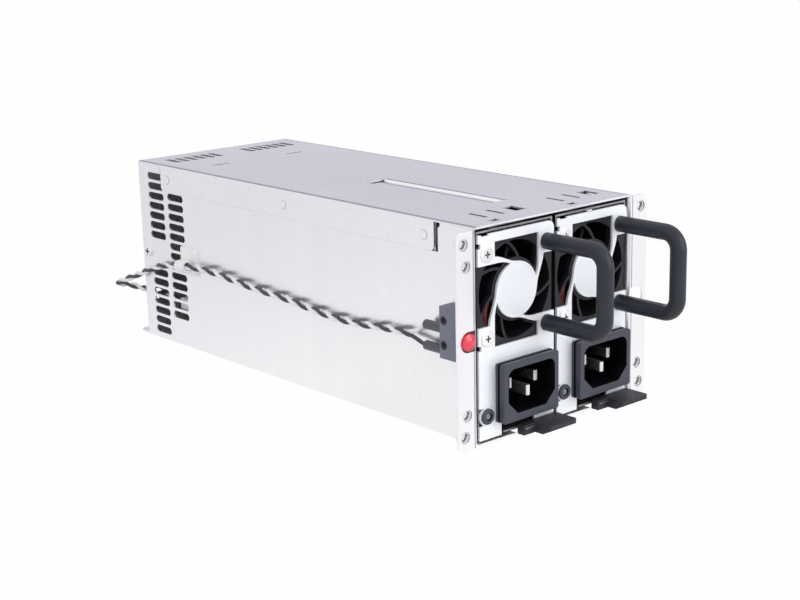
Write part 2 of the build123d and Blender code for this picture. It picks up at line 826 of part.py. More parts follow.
# Alarm switch on the left wall, behind the ear
switch_front_y = front_y + switch_front_inset
switch_rear_y = switch_front_y + switch_depth
switch_outer_x = -side_x - switch_thickness
button_x = -side_x - button_x_offset
switch_screws_at = [
    (switch_rear_y - switch_hole_inset, switch_z + level * switch_hole_pitch / 2) for level in (-1, 1)
]
with BuildPart() as alarm_switch:
    span_box(
        (switch_outer_x, switch_front_y, switch_z - switch_length / 2),
        (-side_x, switch_rear_y, switch_z + switch_length / 2),
    )
    chamfer(alarm_switch.edges().filter_by(Axis.X), switch_corner)
    # Parting step of the housing's cover
    span_box(
        (switch_outer_x - 1, switch_rear_y - switch_step_depth, switch_z - switch_length),
        (switch_outer_x + switch_step_width, switch_rear_y + 1, switch_z + switch_length),
        mode=Mode.SUBTRACT,
    )
    for hole_y, hole_z in switch_screws_at:
        x_rod(hole_y, hole_z, switch_outer_x - 1, -side_x, switch_hole_radius, mode=Mode.SUBTRACT)
        bore_end_x = switch_outer_x + switch_bore_depth
        x_rod(hole_y, hole_z, switch_outer_x - 1, bore_end_x, switch_bore_radius, mode=Mode.SUBTRACT)
    y_rod(
        button_x,
        button_z,
        switch_front_y - 1,
        switch_front_y + button_stem_depth + button_travel,
        button_stem_radius + button_stem_play,
        mode=Mode.SUBTRACT,
    )
save(alarm_switch, "alarm_switch")

with BuildPart() as switch_screws:
    for hole_y, hole_z in switch_screws_at:
        x_rod(
            hole_y,
            hole_z,
            switch_outer_x + switch_screw_recess,
            -side_x,
            switch_hole_radius - switch_screw_play,
        )
    for hole_y, hole_z in switch_screws_at:
        span_box(
            (switch_outer_x, hole_y - switch_hole_radius, hole_z - switch_screw_slot / 2),
            (
                switch_outer_x + switch_screw_recess + switch_screw_slot,
                hole_y + switch_hole_radius,
                hole_z + switch_screw_slot / 2,
            ),
            mode=Mode.SUBTRACT,
        )
save(switch_screws, "switch_screws")

# Reset button: a domed cap in the ear's slot, on a stem that enters the switch
with BuildPart() as reset_button:
    cap_front_y = front_y - button_proud
    cap_rear_y = switch_front_y - button_rear_gap
    stem_end_y = switch_front_y + button_stem_depth
    with BuildSketch(Plane.XY.offset(button_z)):
        with BuildLine():
            Polyline(
                (button_x, cap_front_y),
                (button_x, stem_end_y),
                (button_x + button_stem_radius, stem_end_y),
                (button_x + button_stem_radius, cap_rear_y),
                (button_x + button_radius, cap_rear_y),
                (button_x + button_radius, cap_front_y + button_dome),
            )
            TangentArc(
                (button_x, cap_front_y),
                (button_x + button_radius, cap_front_y + button_dome),
                tangent=(1, 0),
            )
        make_face()
    revolve(axis=Axis((button_x, 0, button_z), (0, 1, 0)))
save(reset_button, "reset_button")

# Terminals at the switch's rear, in their sleeves
with BuildPart() as switch_terminals:
    with BuildSketch(at_y(switch_rear_y)):
        for height in terminal_heights:
            with Locations((lead_x, height)):
                Rectangle(terminal_width, terminal_thickness)
    extrude(amount=-terminal_length)
save(switch_terminals, "switch_terminals")

with BuildPart() as terminal_sleeves:
    for height in terminal_heights:
        y_rod(lead_x, height, switch_rear_y, switch_rear_y + sleeve_length, sleeve_radius)
    fillet(terminal_sleeves.edges().group_by(Axis.Y)[-1], sleeve_wall * 0.6)
    for height in terminal_heights:
        y_rod(
            lead_x,
            height,
            switch_rear_y - 1,
            switch_rear_y + sleeve_length + 1,
            sleeve_radius - sleeve_wall,
            mode=Mode.SUBTRACT,
        )
save(terminal_sleeves, "terminal_sleeves")

# Adhesive clip, whose strap follows the lead's slope
strap_axis = Vector(*lead_points[clip_point + 1]) - Vector(*lead_points[clip_point])
strap_start = Vector(*lead_points[clip_point]) + strap_axis * clip_strap_start
strap_plane = Plane(origin=strap_start, x_dir=(1, 0, 0), z_dir=strap_axis)
with BuildPart() as wire_clip:
    span_box(
        (-side_x - clip_base, clip_front_y, clip_low_z),
        (-side_x, clip_front_y + clip_width, clip_high_z),
    )
    chamfer(wire_clip.edges().filter_by(Axis.X), clip_corner)
    strap_bore = lead_pair_diameter / 2 + clip_play
    with BuildSketch(strap_plane):
        Circle(strap_bore + clip_strap_wall)
        with Locations((strap_bore / 2, 0)):
            Rectangle(strap_bore, 2 * (strap_bore + clip_strap_wall))
    extrude(amount=clip_strap_width)
    with BuildSketch(strap_plane):
        Circle(strap_bore)
    extrude(amount=clip_width, both=True, mode=Mode.SUBTRACT)
    span_box(
        (-side_x, clip_front_y - clip_width, clip_low_z - clip_width),
        (-side_x + clip_width, clip_front_y + 2 * clip_width, clip_high_z + clip_width),
        mode=Mode.SUBTRACT,
    )
save(wire_clip, "wire_clip")

# The alarm lead: a twisted pair, drawn as one round cord, and its two tails
make_cord(lead_points, lead_pair_diameter, "alarm_lead")
make_cord(black_tail_points, lead_wire_diameter, "lead_tail_black")
make_cord(white_tail_points, lead_wire_diameter, "lead_tail_white")
with BuildPart() as lead_plug:
    plug_x, plug_end_y, plug_z = lead_points[-1]
    span_box(
        (plug_x - lead_plug_size / 2, backplane_rear_y, plug_z - lead_plug_size / 2),
        (plug_x + lead_plug_size / 2, plug_end_y, plug_z + lead_plug_size / 2),
    )
    chamfer(lead_plug.edges().group_by(Axis.Y)[-1], lead_plug_corner)
save(lead_plug, "lead_plug")

# The rear panel's hole for the lead, at the lead's own place
with BuildPart() as rear_panel_drilled:
    add(rear_panel.part)
    y_rod(plug_x, plug_z, rear_y - 2 * cage_sheet, rear_y + cage_sheet, lead_hole_radius, mode=Mode.SUBTRACT)
save(rear_panel_drilled, "rear_panel")


def swirl_opening(reach):
    """One of the four openings that leave a round hub on swirling arms. It opens upwards to the reach."""
    tip = (hub_radius * cos(radians(grille_tip_angle)), hub_radius * sin(radians(grille_tip_angle)))
    leave = (hub_radius * cos(radians(grille_leave_angle)), hub_radius * sin(radians(grille_leave_angle)))
    with BuildSketch(mode=Mode.PRIVATE) as opening:
        with BuildLine():
            Polyline(
                (-grille_left, grille_arm_height),
                (-grille_left, reach),
                (grille_right, reach),
                (grille_right, grille_bend_height),
            )
            TangentArc((grille_right, grille_bend_height), tip, tangent=(0, -1))
            CenterArc((0, 0), hub_radius, grille_tip_angle, grille_leave_angle - grille_tip_angle)
            Bezier(
                leave,
                (leave[0] - 5.0, leave[1] + 0.45),
                (-grille_left + 4.0, grille_arm_height - 0.2),
                (-grille_left, grille_arm_height),
            )
        make_face()
    return opening.sketch


def motor_strut():
    """One bowed strut that leans from the motor mount to the duct."""
    inner = Vector(motor_radius - strut_width / 2, 0).rotate(Axis.Z, strut_start_angle)
    outer = Vector((fan_bore_radius + fan_size / 2) / 2, 0).rotate(Axis.Z, strut_start_angle + strut_lean)
    across = (outer - inner).normalized().rotate(Axis.Z, 90)
    middle = (inner + outer) / 2 - across * strut_bow
    edge = across * (strut_width / 2)
    with BuildSketch(mode=Mode.PRIVATE) as strut:
        with BuildLine():
            near = ThreePointArc(inner + edge, middle + edge, outer + edge)
            far = ThreePointArc(inner - edge, middle - edge, outer - edge)
            Line(near @ 0, far @ 0)
            Line(near @ 1, far @ 1)
        make_face()
    return strut.sketch


def rotor_blade():
    """One twisted blade, lofted between a steep root section and a flat tip section, along +X."""
    with BuildPart(mode=Mode.PRIVATE) as blade:
        for radius, chord, pitch in (
            (hub_radius - 0.6, blade_chord * 0.78, 52.0),
            (fan_bore_radius - blade_tip_gap, blade_chord, 34.0),
        ):
            section = Plane(origin=(radius, 0, 0), x_dir=(0, 1, 0), z_dir=(1, 0, 0))
            with BuildSketch(section):
                Rectangle(chord, blade_thickness, rotation=pitch)
        loft()
        # The tips are turned down to the duct's round clearance
        with BuildSketch(Plane.XY.offset(-rotor_depth)):
            Circle(2 * fan_bore_radius)
            Circle(fan_bore_radius - blade_tip_gap, mode=Mode.SUBTRACT)
        extrude(amount=2 * rotor_depth, mode=Mode.SUBTRACT)
    return blade.part


tall_opening = swirl_opening(grille_reach)
wide_opening = swirl_opening(module_half + 1)
strut_shape = motor_strut()
blade_shape = rotor_blade()


def make_module(name, x):
    """Every piece of one plug-in module, centred at the given X."""
    fan_holes = [
        (x + side * fan_hole_pitch / 2, fan_z + level * fan_hole_pitch / 2)
        for side in (-1, 1)
        for level in (-1, 1)
    ]
    screw_holes = fan_holes[:2]
    handle_holes = fan_holes[2:]
    left_x = x - module_half
    right_x = x + module_half
    inlet_x = x + inlet_offset_x
    lamp_x = x + lamp_offset_x
    inner_left = left_x + module_sheet
    inner_right = right_x - module_sheet

    # Case: floor, sides and rear wall, with the sides cut away for the fan
    with BuildPart() as module_case:
        span_box((left_x, case_front_y, module_bottom_z), (right_x, case_rear_y, case_top_z))
        span_box(
            (inner_left, case_front_y - 1, case_floor_z),
            (inner_right, case_rear_y - module_sheet, case_top_z + 1),
            mode=Mode.SUBTRACT,
        )
        span_box(
            (left_x - 1, case_front_y - 1, fan_z - fan_size / 2 - fan_gap),
            (right_x + 1, fan_rear_y + fan_gap, fan_z + fan_size / 2 + fan_gap),
            mode=Mode.SUBTRACT,
        )
        with BuildSketch(at_y(case_rear_y)):
            with Locations((x, (board_z + case_top_z) / 2 + vent_pitch)):
                with GridLocations(vent_length + vent_column_gap, vent_pitch, 2, lid_vent_count):
                    SlotOverall(vent_length, vent_height)
            with Locations((x, board_z + board_thickness / 2)):
                Rectangle(finger_width + 4 * socket_play, board_thickness + 4 * socket_play)
        extrude(amount=2 * module_sheet, mode=Mode.SUBTRACT)
        board_middle_y = (case_front_y + board_front_inset + case_rear_y) / 2
        board_span_y = case_rear_y - case_front_y - board_front_inset
        with BuildSketch(Plane.XY.offset(case_floor_z)):
            with Locations((x, board_middle_y)):
                with GridLocations(module_width * 0.7, board_span_y * 0.85, 2, 2):
                    Circle(standoff_radius)
        extrude(amount=board_lift)
        # Two pins that hold the leaf spring's root
        with BuildSketch(Plane.XY.offset(case_floor_z)):
            with Locations((x, leaf_rear_y - latch_pin_inset)):
                with GridLocations(latch_pin_pitch, 0, 2, 1):
                    Circle(latch_pin_radius)
        extrude(amount=leaf_thickness + leaf_floor_gap + latch_pin_head)
    save(module_case, f"{name}_case")

    with BuildPart() as module_lid:
        span_box((left_x, case_front_y, case_top_z), (right_x, case_rear_y, module_top_z))
        for edge_x, step in ((inner_left, 1), (inner_right, -1)):
            span_box(
                (edge_x, fan_rear_y + 1, case_top_z - lid_flange_depth),
                (edge_x + step * module_sheet, case_rear_y - 2 * module_sheet, case_top_z),
            )
    save(module_lid, f"{name}_lid")

    # Front panel with the swirl grille
    with BuildPart() as front_panel:
        with BuildSketch(at_y(panel_y)) as panel_outline:
            panel_top = module_top_z - panel_top_drop
            with Locations((x, (module_bottom_z + panel_top) / 2)):
                Rectangle(module_width, panel_top - module_bottom_z)
            fillet(panel_outline.vertices().sort_by_distance((right_x, panel_top))[0], panel_corner_radius)
            with Locations((x, fan_z)):
                with PolarLocations(0, 2):
                    add(tall_opening, mode=Mode.SUBTRACT)
                with PolarLocations(0, 2, start_angle=90):
                    add(wide_opening, mode=Mode.SUBTRACT)
            with Locations((inlet_x, inlet_z)):
                Rectangle(inlet_body_width, inlet_body_height, mode=Mode.SUBTRACT)
            with Locations(*screw_holes):
                Circle(screw_radius, mode=Mode.SUBTRACT)
            with Locations(*handle_holes):
                Circle(handle_stud_radius, mode=Mode.SUBTRACT)
            window_middle = x + (latch_window_left + latch_window_right) / 2
            with Locations((window_middle, module_bottom_z)):
                Rectangle(
                    latch_window_right - latch_window_left,
                    2 * (latch_window_top - module_bottom_z),
                    mode=Mode.SUBTRACT,
                )
            slot_x = left_x + edge_slot_inset + edge_slot_length / 2
            for slot_x, slot_z, slot_width, slot_height in (
                (slot_x, panel_top, edge_slot_length, 2 * edge_slot_height),
                (left_x, fan_z + edge_notch_offset, 2 * edge_notch_width, edge_notch_height),
                (left_x, fan_z - edge_notch_offset, 2 * edge_notch_width, edge_notch_height),
                (left_x, lamp_z, 2 * lamp_notch_width, lamp_notch_height),
            ):
                with Locations((slot_x, slot_z)):
                    Rectangle(slot_width, slot_height, mode=Mode.SUBTRACT)
            # The lamp sits in a round lug that reaches into its notch
            with Locations((lamp_x, lamp_z)):
                Circle(lamp_ring_radius)
                Circle(lamp_barrel_radius, mode=Mode.SUBTRACT)
        extrude(amount=-panel_sheet)
    save(front_panel, f"{name}_front_panel")

    # Fan frame: two square flanges, a round duct and the motor mount on leaning struts
    with BuildPart() as fan_frame:
        for flange_y in (fan_front_y, fan_rear_y - fan_flange):
            with BuildSketch(at_y(flange_y)):
                with Locations((x, fan_z)):
                    RectangleRounded(fan_size, fan_size, fan_corner_radius)
            extrude(amount=-fan_flange)
        y_rod(x, fan_z, fan_front_y, fan_rear_y, fan_size / 2)
        y_rod(x, fan_z, fan_front_y - 1, fan_rear_y + 1, fan_bore_radius, mode=Mode.SUBTRACT)
        with BuildSketch(at_y(fan_front_y)):
            with Locations(*fan_holes):
                Circle(fan_hole_radius)
        extrude(amount=-fan_depth, mode=Mode.SUBTRACT)
        with BuildSketch(at_y(fan_front_y)) as spider:
            with Locations((x, fan_z)):
                Circle(motor_radius)
                with PolarLocations(0, strut_count):
                    add(strut_shape)
        extrude(amount=-motor_plate)
        y_rod(x, fan_z, fan_front_y, fan_front_y + rotor_gap + rotor_depth * 0.7, bearing_radius)
        y_rod(
            x,
            fan_z,
            fan_front_y + motor_plate / 2,
            fan_rear_y,
            shaft_radius + shaft_play,
            mode=Mode.SUBTRACT,
        )
        # Exit notch for the fan's lead
        notch_end_y = fan_front_y + fan_lead_depth + fan_lead_diameter / 2 + fan_lead_play
        span_box(
            (x + fan_lead_offset_x - fan_lead_diameter, fan_front_y - 1, fan_z - fan_size),
            (x + fan_lead_offset_x + fan_lead_diameter, notch_end_y, fan_z - fan_bore_radius / 2),
            mode=Mode.SUBTRACT,
        )
    save(fan_frame, f"{name}_fan_frame")

    # Fan rotor: a cup with twisted blades, on a shaft that runs in the motor mount
    rotor_front_y = fan_front_y + motor_plate + rotor_gap
    rotor_plane = Plane(
        origin=(x, rotor_front_y + rotor_depth / 2, fan_z),
        x_dir=(1, 0, 0),
        z_dir=(0, -1, 0),
    )
    with BuildPart() as fan_rotor:
        with BuildSketch(at_y(rotor_front_y)):
            with Locations((x, fan_z)):
                Circle(hub_radius)
        extrude(amount=-rotor_depth)
        fillet(fan_rotor.edges().group_by(Axis.Y)[-1], rotor_wall)
        with BuildSketch(at_y(rotor_front_y)):
            with Locations((x, fan_z)):
                Circle(hub_radius - rotor_wall)
        extrude(amount=-(rotor_depth - rotor_wall), mode=Mode.SUBTRACT)
        y_rod(x, fan_z, rotor_front_y, rotor_front_y + rotor_depth - rotor_wall / 2, shaft_radius)
        with Locations(rotor_plane):
            with PolarLocations(0, blade_count):
                add(blade_shape)
    save(fan_rotor, f"{name}_fan_rotor")

    # Pan-head screws on the grille's left side
    with BuildPart() as fan_screws:
        for screw_x, screw_z in screw_holes:
            y_rod(screw_x, screw_z, panel_y - screw_head_height, panel_y, screw_head_radius)
        fillet(fan_screws.edges().group_by(Axis.Y)[0], screw_head_height * 0.5)
        for screw_x, screw_z in screw_holes:
            y_rod(screw_x, screw_z, panel_y, fan_front_y + fan_flange, screw_radius)
            cross_end_y = panel_y - screw_head_height + screw_cross_depth
            for long_x, long_z in (
                (screw_cross_length, screw_cross_width),
                (screw_cross_width, screw_cross_length),
            ):
                span_box(
                    (screw_x - long_x / 2, cross_end_y - 2, screw_z - long_z / 2),
                    (screw_x + long_x / 2, cross_end_y, screw_z + long_z / 2),
                    mode=Mode.SUBTRACT,
                )
    save(fan_screws, f"{name}_fan_screws")

    # Pull handle, with studs that pass through the panel
    handle_x = x + fan_hole_pitch / 2
    handle_y = panel_y - handle_reach
    with BuildPart() as handle:
        with BuildLine() as handle_path:
            FilletPolyline(
                (handle_x, panel_y, fan_z + fan_hole_pitch / 2),
                (handle_x, handle_y, fan_z + fan_hole_pitch / 2),
                (handle_x, handle_y, fan_z - fan_hole_pitch / 2),
                (handle_x, panel_y, fan_z - fan_hole_pitch / 2),
                radius=handle_bend,
            )
        with BuildSketch(Plane(origin=handle_path.line @ 0, z_dir=handle_path.line % 0)):
            Circle(handle_diameter / 2)
        sweep(path=handle_path.line)
        for stud_x, stud_z in handle_holes:
            y_rod(stud_x, stud_z, panel_y, fan_front_y + fan_flange, handle_stud_radius)
    save(handle, f"{name}_handle")

    # Mains inlet: a moulded socket with three blades
    inlet_front_y = panel_y - inlet_proud
    pin_places = [
        (inlet_x - pin_spacing / 2, inlet_mouth_z + pin_row_offset, inlet_front_y + pin_recess),
        (inlet_x + pin_spacing / 2, inlet_mouth_z + pin_row_offset, inlet_front_y + pin_recess),
        (inlet_x, inlet_mouth_z - pin_row_offset, inlet_front_y + pin_recess - earth_pin_lead),
    ]
    inlet_rear_y = panel_y + inlet_body_depth
    with BuildPart() as inlet:
        with BuildSketch(at_y(panel_y)):
            with Locations((inlet_x, inlet_z)):
                RectangleRounded(inlet_width, inlet_height, inlet_corner_radius)
        extrude(amount=inlet_proud)
        fillet(inlet.edges().group_by(Axis.Y)[0], inlet_groove)
        with BuildSketch(at_y(panel_y - inlet_groove_width)):
            with Locations((inlet_x, inlet_z)):
                RectangleRounded(inlet_width + 2, inlet_height + 2, inlet_corner_radius)
                RectangleRounded(
                    inlet_width - 2 * inlet_groove,
                    inlet_height - 2 * inlet_groove,
                    inlet_corner_radius,
                    mode=Mode.SUBTRACT,
                )
        extrude(amount=inlet_groove_width, mode=Mode.SUBTRACT)
        with BuildSketch(at_y(panel_y)):
            with Locations((inlet_x, inlet_z)):
                Rectangle(inlet_body_width, inlet_body_height)
        extrude(amount=-inlet_body_depth)
        with BuildSketch(at_y(inlet_front_y)) as mouth:
            with Locations((inlet_x, inlet_mouth_z)):
                Rectangle(inlet_mouth_width, inlet_mouth_height)
            mouth_corners = mouth.vertices().group_by(Axis.Y)
            chamfer(mouth_corners[0], inlet_mouth_cut)
            fillet(mouth.vertices().group_by(Axis.Y)[-1], inlet_mouth_radius)
        extrude(amount=-inlet_mouth_depth, mode=Mode.SUBTRACT)
        with BuildSketch(at_y(inlet_rear_y + 1)):
            for pin_x, pin_z, _ in pin_places:
                with Locations((pin_x, pin_z)):
                    Rectangle(pin_width, pin_height)
        extrude(amount=inlet_body_depth, mode=Mode.SUBTRACT)
    save(inlet, f"{name}_inlet")

    with BuildPart() as inlet_pins:
        for pin_x, pin_z, tip_y in pin_places:
            with BuildSketch(at_y(tip_y)):
                with Locations((pin_x, pin_z)):
                    Rectangle(pin_width, pin_height)
            extrude(amount=-(inlet_rear_y + pin_tail - tip_y))
        for tip_y in sorted({place[2] for place in pin_places}):
            tip_edges = inlet_pins.edges().filter_by_position(Axis.Y, tip_y - 0.01, tip_y + 0.01)
            chamfer(tip_edges.filter_by(Axis.Z), pin_width * 0.25)
    save(inlet_pins, f"{name}_inlet_pins")

    # Status lamp in its collar
    with BuildPart() as lamp_collar:
        y_rod(lamp_x, lamp_z, panel_y - lamp_flange, panel_y, lamp_flange_radius)
        fillet(lamp_collar.edges().group_by(Axis.Y)[0], lamp_flange * 0.5)
        y_rod(lamp_x, lamp_z, panel_y, panel_y + lamp_barrel, lamp_barrel_radius)
        y_rod(
            lamp_x,
            lamp_z,
            panel_y - lamp_flange - 1,
            panel_y + lamp_barrel + 1,
            lamp_lens_radius + lamp_play,
            mode=Mode.SUBTRACT,
        )
    save(lamp_collar, f"{name}_lamp_collar")

    with BuildPart() as lamp_lens:
        lens_front_y = panel_y - lamp_flange + 0.2
        y_rod(lamp_x, lamp_z, lens_front_y, panel_y + lamp_barrel, lamp_lens_radius)
        fillet(lamp_lens.edges().group_by(Axis.Y)[0], lamp_lens_radius * 0.6)
    save(lamp_lens, f"{name}_lamp_lens")

    # Latch leaf, with a narrower tongue that the finger tab is moulded on
    with BuildPart() as latch_leaf:
        span_box(
            (x - leaf_width / 2, leaf_front_y, leaf_z),
            (x + leaf_width / 2, leaf_rear_y, leaf_z + leaf_thickness),
        )
        span_box(
            (x + leaf_width / 2 - leaf_tongue_width, leaf_front_y - leaf_tongue_length, leaf_z),
            (x + leaf_width / 2, leaf_front_y, leaf_z + leaf_thickness),
        )
        with BuildSketch(Plane.XY.offset(leaf_z)):
            with Locations((x, leaf_rear_y - latch_pin_inset)):
                with GridLocations(latch_pin_pitch, 0, 2, 1):
                    Circle(latch_pin_radius + latch_pin_play)
        extrude(amount=leaf_thickness, mode=Mode.SUBTRACT)
    save(latch_leaf, f"{name}_latch_leaf")

    tab_x = x + tab_left
    tab_end_x = right_x + tab_overhang
    tab_top_z = tab_bottom_z + tab_thickness
    with BuildPart() as latch_tab:
        with BuildSketch(at_x(tab_x + tab_step)):
            with BuildLine():
                Polyline(
                    (leaf_front_y, tab_bottom_z),
                    (leaf_front_y, tab_top_z),
                    (panel_y - tab_reach, tab_top_z),
                    (panel_y - tab_reach, tab_bottom_z + tab_bevel_height),
                    (panel_y - tab_reach + tab_bevel_depth, tab_bottom_z),
                    close=True,
                )
            make_face()
        extrude(amount=tab_end_x - tab_x - tab_step)
        span_box(
            (tab_x, leaf_front_y - tab_root_depth, tab_bottom_z),
            (tab_x + tab_step, leaf_front_y, tab_top_z),
        )
        fillet(latch_tab.edges().filter_by(Axis.Z).group_by(Axis.Y)[0], tab_corner)
        span_box(
            (x + leaf_width / 2 - leaf_tongue_width, leaf_front_y - leaf_tongue_length, leaf_z),
            (x + leaf_width / 2, leaf_front_y + 1, leaf_z + leaf_thickness),
            mode=Mode.SUBTRACT,
        )
    save(latch_tab, f"{name}_latch_tab")

    # Main board with its contact finger
    board_left = inner_left + board_side_gap
    board_right = inner_right - board_side_gap
    board_front_y = case_front_y + board_front_inset
    board_end_y = case_rear_y - module_sheet - board_side_gap
    with BuildPart() as main_board:
        span_box(
            (board_left, board_front_y, board_z),
            (board_right, board_end_y, board_z + board_thickness),
        )
        span_box(
            (x - finger_width / 2, board_end_y, board_z),
            (x + finger_width / 2, finger_y, board_z + board_thickness),
        )
    save(main_board, f"{name}_main_board")

    parts_z = board_z + board_thickness
    with BuildPart() as heat_sinks:
        sink_front_y = fan_rear_y + sink_front_gap
        for side in (-1, 1):
            base_x = x + side * sink_offset
            outward = side * sink_base
            span_box(
                (base_x, sink_front_y, parts_z),
                (base_x + outward, sink_front_y + sink_length, parts_z + sink_height),
            )
            with BuildSketch(at_y(sink_front_y)):
                with Locations((base_x + outward + side * sink_fin / 2, parts_z + sink_height / 2)):
                    with GridLocations(0, sink_height / sink_fin_count, 1, sink_fin_count):
                        Rectangle(sink_fin, module_sheet)
            extrude(amount=-sink_length)
    save(heat_sinks, f"{name}_heat_sinks")

    with BuildPart() as transformer:
        # A closed core with its winding upright in the core's window
        core_y = fan_rear_y + core_front_gap + core_length / 2
        with BuildSketch(at_x(x)):
            with Locations((core_y, parts_z + core_height / 2)):
                Rectangle(core_length, core_height)
                Rectangle(core_length - 2 * core_leg, core_height - 2 * core_leg, mode=Mode.SUBTRACT)
        extrude(amount=core_width / 2, both=True)
        winding_radius = core_width / 2 - winding_play
        z_rod(x, core_y, parts_z + core_leg, parts_z + core_height - core_leg, winding_radius)
    save(transformer, f"{name}_transformer")

    with BuildPart() as bulk_capacitor:
        z_rod(x, fan_rear_y + bulk_cap_front_gap, parts_z, parts_z + bulk_cap_height, bulk_cap_radius)
        chamfer(bulk_capacitor.edges().group_by(Axis.Z)[-1], bulk_cap_radius * 0.1)
    save(bulk_capacitor, f"{name}_bulk_capacitor")

    with BuildPart() as output_capacitors:
        with BuildSketch(Plane.XY.offset(parts_z)):
            with Locations((x, case_rear_y - small_cap_rear_gap)):
                with GridLocations(small_cap_pitch, small_cap_pitch, 4, 3):
                    Circle(small_cap_radius)
        extrude(amount=small_cap_height)
    save(output_capacitors, f"{name}_output_capacitors")

    # The fan's lead, from the motor mount to the board
    lead_side_x = x + fan_lead_offset_x
    lead_y = fan_front_y + fan_lead_depth
    make_cord(
        [
            (x - motor_radius - 0.2, lead_y, fan_z - 3.6),
            (x - 13.8, lead_y, fan_z - 7.0),
            (x - 13.8, lead_y, fan_z - 11.0),
            (lead_side_x, lead_y, fan_z - 14.6),
            (lead_side_x - 0.2, lead_y + 0.6, fan_z - fan_lead_drop),
            (lead_side_x - 1.4, lead_y + 11.0, parts_z + 12.0),
            (lead_side_x - 1.6, board_front_y + 3.0, parts_z + 0.6),
        ],
        fan_lead_diameter,
        f"{name}_fan_lead",
    )


for module_name, module_side in (("left_module", -1), ("right_module", 1)):
    make_module(module_name, module_side * module_x)
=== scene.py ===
import json
import math

import bmesh
import bpy
from mathutils import Matrix, Vector

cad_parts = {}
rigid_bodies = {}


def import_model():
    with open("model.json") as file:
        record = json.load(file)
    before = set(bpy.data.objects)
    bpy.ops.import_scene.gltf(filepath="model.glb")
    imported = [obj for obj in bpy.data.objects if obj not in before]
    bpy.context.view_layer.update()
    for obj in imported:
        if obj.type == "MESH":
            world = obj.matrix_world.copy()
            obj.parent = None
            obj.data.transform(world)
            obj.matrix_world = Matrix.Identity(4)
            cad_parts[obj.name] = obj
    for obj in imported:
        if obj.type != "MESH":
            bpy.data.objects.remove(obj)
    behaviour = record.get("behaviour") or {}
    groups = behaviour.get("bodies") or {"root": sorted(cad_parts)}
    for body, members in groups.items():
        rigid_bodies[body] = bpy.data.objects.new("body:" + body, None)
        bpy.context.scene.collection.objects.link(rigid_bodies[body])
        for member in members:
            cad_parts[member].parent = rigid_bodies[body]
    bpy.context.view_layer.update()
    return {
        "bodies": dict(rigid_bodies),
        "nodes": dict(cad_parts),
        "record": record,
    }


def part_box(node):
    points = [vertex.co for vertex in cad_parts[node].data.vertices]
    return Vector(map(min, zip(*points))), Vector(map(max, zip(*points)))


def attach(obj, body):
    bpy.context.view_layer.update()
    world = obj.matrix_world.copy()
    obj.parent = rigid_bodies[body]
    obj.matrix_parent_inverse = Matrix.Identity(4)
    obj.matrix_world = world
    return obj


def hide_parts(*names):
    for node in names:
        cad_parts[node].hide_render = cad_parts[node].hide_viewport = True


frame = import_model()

# Looks for the twin power supply, in the frame of the solids. In metres, where no comment says millimetres.
MM = 0.001
FULL_TURN = 2 * math.pi
nodes = frame["nodes"]
record = frame["record"]
scene = bpy.context.scene


def tidy_default_scene():
    """Removes whatever the start file holds besides the frame."""
    keep = set(nodes.values()) | set(frame["bodies"].values())
    for thing in list(bpy.data.objects):
        if thing not in keep:
            bpy.data.objects.remove(thing)


def add_object(name, data):
    """An object that holds the data, linked into the scene."""
    thing = bpy.data.objects.new(name, data)
    scene.collection.objects.link(thing)
    return thing


tidy_default_scene()

# Camera, as solved from the photo
camera_data = bpy.data.cameras.new("camera")
camera = add_object("camera", camera_data)
camera_place = (-0.42818, -0.50834, 0.20116)
camera_right = Vector((0.74715154, -0.66427012, -0.02257832))
camera_up = Vector((0.18348326, 0.17348844, 0.96759271))
camera_back = Vector((-0.63882585, -0.72708113, 0.25150461))
camera_turn = Matrix((camera_right, camera_up, camera_back)).transposed()
camera.matrix_world = Matrix.Translation(camera_place) @ camera_turn.to_4x4()
camera_data.sensor_width = 36.0
camera_data.lens = 70.30
camera_data.clip_start = 0.01
camera_data.clip_end = 20.0
scene.camera = camera


